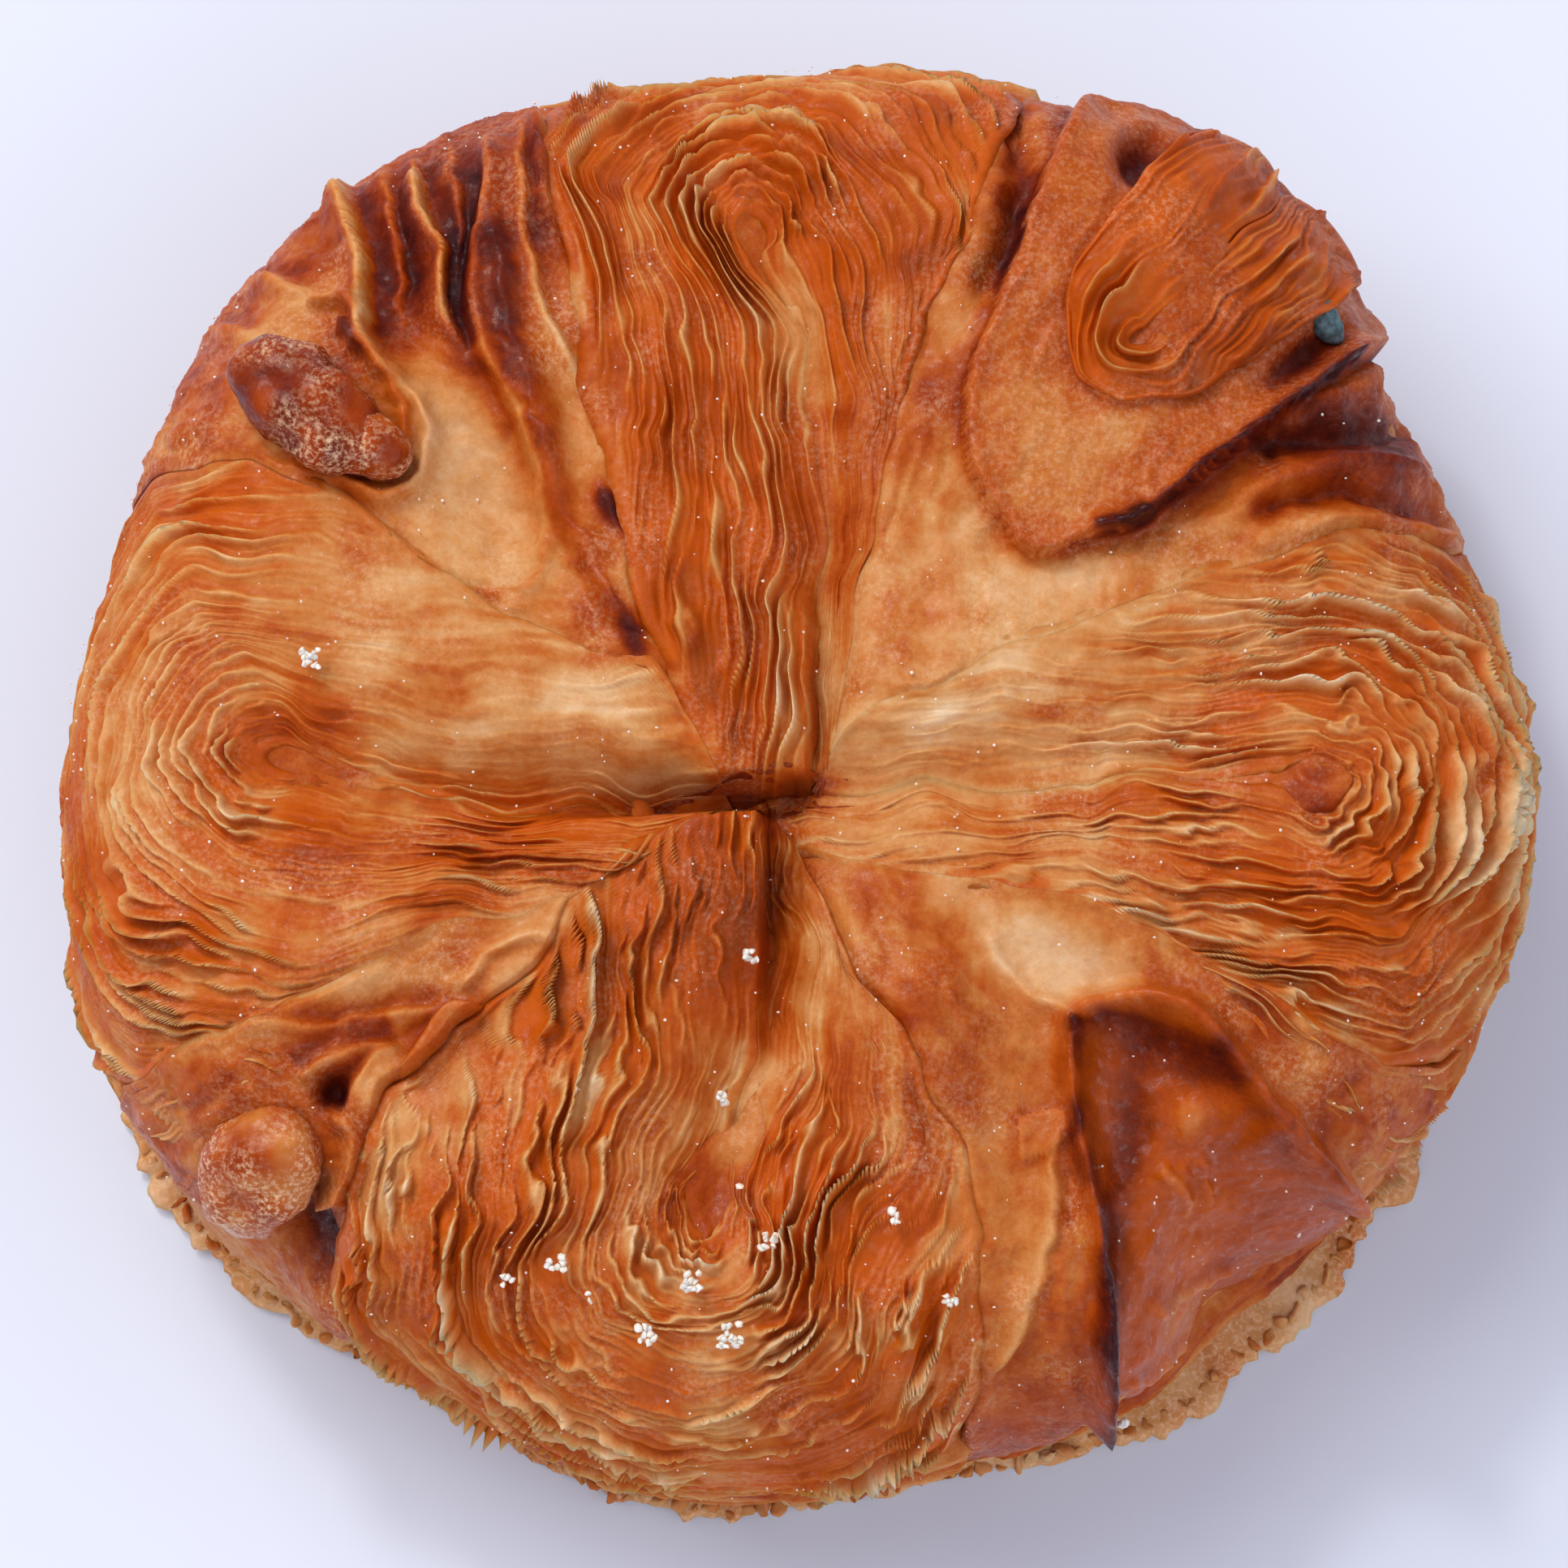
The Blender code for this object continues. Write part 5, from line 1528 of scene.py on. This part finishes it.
@dataclass
class Knob:
    """Rounded end of a curl, swollen and glazed with caramel."""

    name: str
    u: float
    v: float
    lift: float
    half_length: float
    half_width: float
    half_height: float
    turn: float
    tone: float = 0.88
    gloss: float = 0.8
    lumps: float = 0.35
    seed: int = 1

    def build(self, form: CakeForm, material: bpy.types.Material) -> bpy.types.Object:
        """Make the knob.

        Args:
            form: Shape of the cake.
            material: Finish of the knob.

        Returns:
            The knob's object.
        """
        plan = np.array([[self.u, self.v]])
        centre = form.surface(plan, self.lift)[0]
        up = form.outward(plan)[0]
        angle = math.radians(self.turn)
        along = np.array([math.cos(angle), math.sin(angle), 0.0])
        along -= up * float(along @ up)
        along /= np.linalg.norm(along)
        side = np.cross(up, along)
        unit, faces = unit_ball(4)
        axes = np.stack([self.half_length * along, self.half_width * side, self.half_height * up])
        points = centre + unit @ axes
        swell = noise_sum(points, ((self.lumps, 2.4, 0), (0.4 * self.lumps, 1.0, 1)), self.seed)
        away = (points - centre) / np.linalg.norm(points - centre, axis=1, keepdims=True)
        points = points + away * swell[:, None]
        points = points + 0.1 * lattice_noise(points, 0.5, self.seed + 3)[:, None] * up
        tone = self.tone + 0.14 * lattice_noise(points, 1.6, self.seed + 2)
        frost = np.clip(0.42 + 1.1 * lattice_noise(points, 2.6, self.seed + 4), 0.0, 1.0)
        values = {"tone": tone, "gloss": np.full(len(tone), self.gloss), "frost": frost}
        return mesh_object(self.name, points, faces.tolist(), values, material)


KNOBS = (
    Knob("knob_nw", -32.0, 21.8, 1.3, 6.6, 3.6, 2.8, -42, 0.76, 0.7, 0.75, 61),
    Knob("knob_nw_tip", -28.2, 19.6, 1.2, 3.2, 2.2, 2.2, -40, 0.7, 0.7, 0.4, 63),
    Knob("knob_sw", -37.6, -30.6, 1.0, 5.8, 3.8, 3.0, 42, 0.6, 0.45, 0.7, 64),
)
SCRAP = Knob("scrap", 37.4, 31.0, 1.6, 2.3, 1.2, 1.0, 120, 0.5, 0.2, 0.5, 66)


@dataclass
class SugarDust:
    """Fine sugar crystals of about 0.2 mm that stuck all over the top."""

    count: int = 900
    grain: float = 0.085
    reach: float = 58.0
    seed: int = 12

    def build(self, form: CakeForm, material: bpy.types.Material) -> bpy.types.Object:
        """Make the crystals as one mesh of joined small solids.

        Args:
            form: Shape of the cake.
            material: Finish of the crystals.

        Returns:
            The crystals' object.
        """
        rng = np.random.default_rng(self.seed)
        unit, corners = unit_ball(1)
        angle = rng.uniform(0.0, math.tau, self.count)
        reach = self.reach * rng.uniform(0.0, 1.0, self.count) ** 0.5
        plan = np.stack([reach * np.cos(angle), reach * np.sin(angle)], axis=-1)
        middle = form.surface(plan, rng.uniform(0.15, 0.6, self.count))
        size = self.grain * rng.uniform(0.5, 1.5, (self.count, 1, 1))
        size = size * rng.uniform(0.6, 1.2, (self.count, 1, 3))
        points = middle[:, None] + unit[None] * size
        faces = corners[None] + (np.arange(self.count) * len(unit))[:, None, None]
        return mesh_object("sugar_dust", points.reshape(-1, 3), faces.reshape(-1, 3).tolist(), {}, material)


def node_group(name: str, inputs: dict[str, str]) -> tuple[bpy.types.NodeTree, bpy.types.bpy_prop_collection]:
    """Start a geometry node tree with named inputs.

    Args:
        name: Tree name.
        inputs: Socket type of each input, by its name.

    Returns:
        The tree and the sockets that hold its inputs.
    """
    tree = bpy.data.node_groups.new(name, "GeometryNodeTree")
    for key, kind in {"Geometry": "Geometry", **inputs}.items():
        tree.interface.new_socket(key, in_out="INPUT", socket_type=f"NodeSocket{kind}")
    tree.interface.new_socket("Geometry", in_out="OUTPUT", socket_type="NodeSocketGeometry")
    return tree, add_node(tree, "NodeGroupInput").outputs


@dataclass(frozen=True)
class Lump:
    """Small lump that nodes set on points, each one turned, sized and roughened at random."""

    turn: tuple[float, float, float]
    smallest: tuple[float, float, float]
    largest: tuple[float, float, float]
    crag_scale: float
    crag_detail: float
    crag_height: float

    def set_on(self, points: bpy.types.NodeSocket, tree: bpy.types.NodeTree,
               given: bpy.types.bpy_prop_collection, material: bpy.types.Material) -> None:
        """Set lumps on points, make them real mesh and end the tree.

        Args:
            points: Socket with the points.
            tree: Geometry node tree.
            given: Sockets of the tree's inputs, with Size and Seed among them.
            material: Finish of the lumps.
        """
        seeded = {"Seed": given["Seed"]}
        ball = add_node(tree, "GeometryNodeMeshIcoSphere", {"Subdivisions": 2}, {"Radius": given["Size"]})
        turn = add_node(tree, "FunctionNodeRandomValue", {"data_type": "FLOAT_VECTOR", 1: self.turn}, seeded)
        size = add_node(tree, "FunctionNodeRandomValue", {"data_type": "FLOAT_VECTOR", 0: self.smallest,
                                                          1: self.largest}, seeded)
        placed = add_node(tree, "GeometryNodeInstanceOnPoints", {},
                          {"Points": points, "Instance": ball.outputs["Mesh"], "Rotation": turn.outputs[0],
                           "Scale": size.outputs[0]})
        real = add_node(tree, "GeometryNodeRealizeInstances", {}, {"Geometry": placed.outputs["Instances"]})
        where = add_node(tree, "GeometryNodeInputPosition")
        crags = add_node(tree, "ShaderNodeTexNoise", {"Scale": self.crag_scale, "Detail": self.crag_detail},
                         {"Vector": where.outputs[0]})
        centred = add_node(tree, "ShaderNodeVectorMath", {"operation": "SUBTRACT", 1: (0.5, 0.5, 0.5)},
                           {0: crags.outputs["Color"]})
        scaled = add_node(tree, "ShaderNodeVectorMath", {"operation": "SCALE", "Scale": self.crag_height},
                          {0: centred.outputs[0]})
        moved = add_node(tree, "GeometryNodeSetPosition", {},
                         {"Geometry": real.outputs[0], "Offset": scaled.outputs[0]})
        dressed = add_node(tree, "GeometryNodeSetMaterial", {"Material": material},
                           {"Geometry": moved.outputs[0]})
        add_node(tree, "NodeGroupOutput", {}, {0: dressed.outputs[0]})


@dataclass
class SugarGrains:
    """Coarse sugar grains on the south layers and the glazed tips, about a millimetre each."""

    patches: Pairs = (
        (-18.4, -36.4, 0.6), (-15.2, -35.5, 0.9), (-13.0, -37.4, 0.6), (-6.5, -36.6, 0.9), (-9.4, -40.1, 0.8),
        (-3.9, -40.2, 1.1), (-1.4, -34.0, 0.7), (-3.2, -30.4, 0.4), (7.1, -32.4, 0.6), (10.6, -37.9, 0.5),
        (-2.6, -15.0, 0.5), (-4.4, -24.2, 0.5), (25.3, -50.2, 0.6), (-31.8, 4.9, 0.9))
    grain: float = 0.25
    gap: float = 0.2
    density: float = 9.0e6
    seed: int = 9
    lump: Lump = Lump((6.3, 6.3, 6.3), (0.6, 0.6, 0.6), (1.4, 1.3, 1.2), 2600.0, 2.0, 0.0006)

    def bed(self, form: CakeForm) -> bpy.types.Object:
        """Small curved patches just over the surface that the grains fall on.

        Args:
            form: Shape of the cake.

        Returns:
            Object with the patches.
        """
        points, faces = [], []
        side = 9
        steps = np.linspace(-1.0, 1.0, side)
        for u, v, spread in self.patches:
            grid = np.stack(np.meshgrid(u + 0.7 * spread * steps, v + 0.7 * spread * steps), axis=-1)
            start = len(points)
            points += form.surface(grid, 1.2).reshape(-1, 3).tolist()
            firsts = [start + r * side + c for r in range(side - 1) for c in range(side - 1)]
            faces += [[first, first + 1, first + side + 1, first + side] for first in firsts]
        data = bpy.data.meshes.new("grain_bed")
        data.from_pydata((np.array(points) * MM).tolist(), [], faces)
        return linked("grain_bed", data)

    def tree(self, material: bpy.types.Material) -> bpy.types.NodeTree:
        """Geometry nodes that drop grains on the bed.

        Args:
            material: Finish of the grains.

        Returns:
            The node tree.
        """
        tree, given = node_group("drop_grains", {"Size": "Float", "Grains per square metre": "Float",
                                                 "Seed": "Int"})
        spread = add_node(tree, "GeometryNodeDistributePointsOnFaces",
                          {"distribute_method": "POISSON", "Distance Min": self.gap * MM},
                          {"Mesh": given["Geometry"], "Density Max": given["Grains per square metre"],
                           "Seed": given["Seed"]})
        self.lump.set_on(spread.outputs["Points"], tree, given, material)
        return tree

    def build(self, form: CakeForm, material: bpy.types.Material) -> bpy.types.Object:
        """Make the grains as one plain mesh.

        Args:
            form: Shape of the cake.
            material: Finish of the piece.

        Returns:
            The grains' object.
        """
        bed = self.bed(form)
        values = {"Size": self.grain * MM, "Grains per square metre": self.density, "Seed": self.seed}
        return realised("sugar_grains", bed, self.tree(material), values, material)


@dataclass
class Spill:
    """Thin ragged skirt of set caramel that ran out round the foot, widest at two corners."""

    columns: int = 900
    width: float = 0.9
    foot_drop: float = 16.0
    # Middle and spread in degrees, and reach in millimetres, of each wide place.
    spills: Pairs = ((318.0, 17.0, 2.6), (300.0, 8.0, 1.2), (213.0, 16.0, 1.8), (262.0, 14.0, 0.8),
                     (5.0, 14.0, 0.5))
    # Section: places across, millimetres inside the foot or shares of the reach, and heights.
    across: tuple[float, ...] = (-3.0, -1.6, -0.4, 0.3, 0.62, 0.86, 1.0, 0.9, 0.4, -3.0)
    height: tuple[float, ...] = (0.9, 1.9, 1.5, 1.15, 0.95, 0.75, 0.4, 0.12, 0.05, 0.05)
    seed: int = 171

    def reach(self, angle: np.ndarray) -> np.ndarray:
        """How far the skirt runs out.

        Args:
            angle: Angles in radians.

        Returns:
            Reach in millimetres at each angle.
        """
        degrees = np.degrees(angle)
        reach = np.full(angle.shape, self.width)
        for middle, spread, amount in self.spills:
            away = (degrees - middle + 180.0) % 360.0 - 180.0
            reach = reach + amount * np.exp(-(away / spread) ** 2)
        place = np.stack([np.cos(angle), np.sin(angle)], axis=-1) * 50.0
        ragged = 1.0 + noise_sum(place, ((0.35, 2.4, 0), (0.22, 0.8, 1)), self.seed)
        return reach * np.clip(ragged, 0.2, 1.8)

    def build(self, form: CakeForm, material: bpy.types.Material) -> bpy.types.Object:
        """Make the skirt.

        Args:
            form: Shape of the cake.
            material: Finish of the caramel.

        Returns:
            The skirt's object.
        """
        angle = np.linspace(0.0, math.tau, self.columns, endpoint=False)
        foot = form.radius(angle) - form.wall_draft * self.foot_drop ** 2
        out = self.reach(angle)
        across = np.array(self.across)
        radius = foot[:, None] + np.where(across > 0, across * out[:, None], across)
        rough = 0.3 * lattice_noise(np.stack([np.cos(angle), np.sin(angle)], -1) * 50.0, 1.0, self.seed + 2)
        z = np.maximum(np.array(self.height)[None, :] * (1.0 + rough[:, None]), 0.05)
        points = np.stack([radius * np.cos(angle)[:, None], radius * np.sin(angle)[:, None], z], axis=-1)
        points[..., :2] += 0.1 * lattice_noise(points, 0.9, self.seed + 3)[..., None]
        size = len(across)
        k, n = np.arange(self.columns), (np.arange(self.columns) + 1) % self.columns
        faces = []
        for c in range(size):
            d = (c + 1) % size
            faces += np.stack([k * size + c, n * size + c, n * size + d, k * size + d], axis=1).tolist()
        tone = 0.34 + 0.2 * lattice_noise(points, 3.0, self.seed + 4) + 0.22 * np.clip(-across, 0, 1)[None, :]
        values = {"tone": tone.ravel(), "gloss": np.full(tone.size, 0.6), "frost": np.full(tone.size, 0.7)}
        return mesh_object("caramel_skirt", points.reshape(-1, 3), faces, values, material)


@dataclass
class FootRim:
    """Ragged rim of set sugar that spread round the foot and broke into crumbs."""

    lumps: int = 260
    size: float = 0.55
    corners: int = 240
    foot_drop: float = 15.4
    reach: float = 0.6
    height: float = 0.9
    lowest: float = 0.00005
    seed: int = 4
    lump: Lump = Lump((0.5, 0.5, 6.3), (0.4, 0.4, 0.3), (1.5, 1.2, 0.8), 700.0, 3.0, 0.0022)

    def ring(self, form: CakeForm) -> bpy.types.Object:
        """Closed line just outside the foot of the wall.

        Args:
            form: Shape of the cake.

        Returns:
            Object with the line.
        """
        angle = np.linspace(0.0, math.tau, self.corners, endpoint=False)
        radius = form.radius(angle) - form.wall_draft * self.foot_drop ** 2
        radius = radius + self.reach * Spill().reach(angle)
        height = np.full(self.corners, self.height)
        points = np.stack([radius * np.cos(angle), radius * np.sin(angle), height], axis=-1)
        edges = [(k, (k + 1) % self.corners) for k in range(self.corners)]
        data = bpy.data.meshes.new("foot_line")
        data.from_pydata((points * MM).tolist(), edges, [])
        return linked("foot_line", data)

    def tree(self, material: bpy.types.Material) -> bpy.types.NodeTree:
        """Geometry nodes that string lumps of caramel along the foot line.

        Args:
            material: Finish of the rim.

        Returns:
            The node tree.
        """
        tree, given = node_group("string_lumps", {"Lumps": "Int", "Size": "Float", "Seed": "Int"})
        curve = add_node(tree, "GeometryNodeMeshToCurve", {}, {"Mesh": given["Geometry"]})
        points = add_node(tree, "GeometryNodeCurveToPoints", {"mode": "COUNT"},
                          {"Curve": curve.outputs[0], "Count": given["Lumps"]})
        self.lump.set_on(points.outputs["Points"], tree, given, material)
        return tree

    def build(self, form: CakeForm, material: bpy.types.Material) -> bpy.types.Object:
        """Make the rim as one plain mesh that rests on the sole's plane.

        Args:
            form: Shape of the cake.
            material: Finish of the piece.

        Returns:
            The rim's object.
        """
        values = {"Lumps": self.lumps, "Size": self.size * MM, "Seed": self.seed}
        piece = realised("foot_rim", self.ring(form), self.tree(material), values, material)
        place = np.empty(len(piece.data.vertices) * 3, np.float32)
        piece.data.vertices.foreach_get("co", place)
        place = place.reshape(-1, 3)
        place[:, 2] = np.maximum(place[:, 2], self.lowest)
        piece.data.vertices.foreach_set("co", place.ravel())
        tone = 0.4 + 0.22 * lattice_noise(place / MM, 2.5, 81)
        set_tones(piece.data, {"tone": tone, "gloss": np.full(len(tone), 0.7)})
        return piece


def realised(name: str, source: bpy.types.Object, tree: bpy.types.NodeTree, values: dict,
             material: bpy.types.Material) -> bpy.types.Object:
    """Run a geometry node tree on an object and keep its result as a plain mesh.

    Args:
        name: Name of the new piece.
        source: Object that the tree starts from; it is removed.
        tree: Geometry node tree.
        values: Values for the tree's named inputs.
        material: Finish of the result.

    Returns:
        The new piece.
    """
    modifier = source.modifiers.new(tree.name, "NODES")
    modifier.node_group = tree
    sockets = {item.name: item.identifier for item in tree.interface.items_tree if item.in_out == "INPUT"}
    for key, value in values.items():
        modifier[sockets[key]] = value
    bpy.context.view_layer.update()
    evaluated = source.evaluated_get(bpy.context.evaluated_depsgraph_get())
    data = bpy.data.meshes.new_from_object(evaluated)
    source.modifiers.remove(modifier)
    bpy.data.objects.remove(source, do_unlink=True)
    data.name = name
    data.materials.clear()
    data.materials.append(material)
    data.shade_smooth()
    LOG.info("%s: %d faces", name, len(data.polygons))
    return linked(name, data)


# Studio


@dataclass
class Studio:
    """Pale floor, soft light from the upper left and a camera that looks down at 80 degrees."""

    aim: tuple[float, float, float] = (-0.4, -1.1, 20.0)
    distance: float = 550.0
    elevation: float = 80.0
    pixels_per_mm: float = 18.1
    frame_pixels: float = 1932.0
    sensor: float = 36.0
    lit_height: float = 0.02
    sky: str = "#EEF2FF"
    sky_strength: float = 0.5
    floor_half: float = 3.0
    floor_height: float = -0.0004
    lights: tuple[tuple[str, tuple[float, float, float], float, float, str], ...] = (
        ("window", (-0.5, 0.45, 0.8), 0.8, 7.3, "#FFFCF6"),
        ("window_glint", (-0.35, 0.55, 0.85), 0.12, 2.2, "#FFFFFF"),
        ("room_right", (0.85, -0.3, 0.6), 0.9, 2.6, "#F4F6FF"),
        ("room_front", (0.1, -0.95, 0.6), 0.9, 2.8, "#F4F6FF"))

    def set_camera(self) -> None:
        """Create the camera and make it the scene's."""
        data = bpy.data.cameras.new("camera")
        data.sensor_width = self.sensor
        data.lens = self.sensor * self.distance * self.pixels_per_mm / self.frame_pixels
        camera = linked("camera", data)
        angle = math.radians(self.elevation)
        camera.location = (self.aim[0] * MM, (self.aim[1] - self.distance * math.cos(angle)) * MM,
                           (self.aim[2] + self.distance * math.sin(angle)) * MM)
        camera.rotation_euler = (math.pi / 2 - angle, 0.0, 0.0)
        bpy.context.scene.camera = camera

    def add_light(self, name: str, place: tuple[float, float, float], size: float, watts: float,
                  colour: str) -> None:
        """Add a square soft light that faces the cake.

        Args:
            name: Light name.
            place: Position in metres.
            size: Side in metres.
            watts: Power.
            colour: Hex colour of the light.
        """
        data = bpy.data.lights.new(name, "AREA")
        data.size = size
        data.energy = watts
        data.color = linear(colour)[:3]
        light = linked(name, data)
        light.location = place
        x, y, z = place
        light.rotation_euler = (math.atan2(math.hypot(x, y), z - self.lit_height), 0.0, math.atan2(x, -y))

    def set_stage(self) -> None:
        """Lay the floor and switch on the lights."""
        data = bpy.data.meshes.new("floor")
        corners = [(x * self.floor_half, y * self.floor_half, self.floor_height)
                   for x, y in ((-1, -1), (1, -1), (1, 1), (-1, 1))]
        data.from_pydata(corners, [], [(0, 1, 2, 3)])
        data.materials.append(PaleBoard().make())
        floor = linked("floor", data)
        for light in self.lights:
            self.add_light(*light)
        world = bpy.data.worlds.new("soft_room")
        world.use_nodes = True
        sky = world.node_tree.nodes["Background"]
        sky.inputs["Color"].default_value = linear(self.sky)
        sky.inputs["Strength"].default_value = self.sky_strength
        bpy.context.scene.world = world
        bpy.context.scene.view_settings.view_transform = "Standard"


def main() -> None:
    """Build the cake piece by piece, dress it, hang it under the root body and set the stage."""
    logging.basicConfig(level=logging.INFO, format="%(message)s")
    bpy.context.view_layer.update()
    studio = Studio()
    studio.set_camera()
    form = CakeForm()
    dough = BakedDough("baked_butter_dough").make()
    skin = BakedDough("baked_dough_skin", mottle=0.38, bump_mm=0.13).make()
    caramel = BakedDough("set_caramel_glaze", mottle=0.2, roughness=(0.4, 0.1), bump_mm=0.1).make()
    sugar = CoarseSugar().make()

    lamination = Lamination()
    lobes = lamination.lobes(form)
    corners = [NORTH_WEST, NORTH_EAST, SOUTH_EAST, SOUTH_WEST]
    lobe_rings = [spline(lobe.outer, np.linspace(0.0, 1.0, 80)) for lobe in lobes]
    corner_rings = [np.vstack([spline(c.left, np.linspace(0, 1, 30)), spline(c.right, np.linspace(1, 0, 30))])
                    for c in corners]
    pieces = [Crust().build(form, lobe_rings, corner_rings, skin)]
    pieces += [band.build(form, dough) for band in lobes + lamination.bands()]
    pieces += [corner.build(form, skin) for corner in corners + list(EYE_FLOORS)]
    pieces += [knob.build(form, caramel) for knob in KNOBS]
    pieces.append(SCRAP.build(form, GreyScrap().make()))
    pieces += [SugarDust().build(form, sugar), SugarGrains().build(form, sugar)]
    pieces += [Spill().build(form, caramel), FootRim().build(form, caramel)]

    for piece in pieces:
        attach(piece, "root")
    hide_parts("pastry")
    studio.set_stage()


if __name__ == "__main__":
    main()
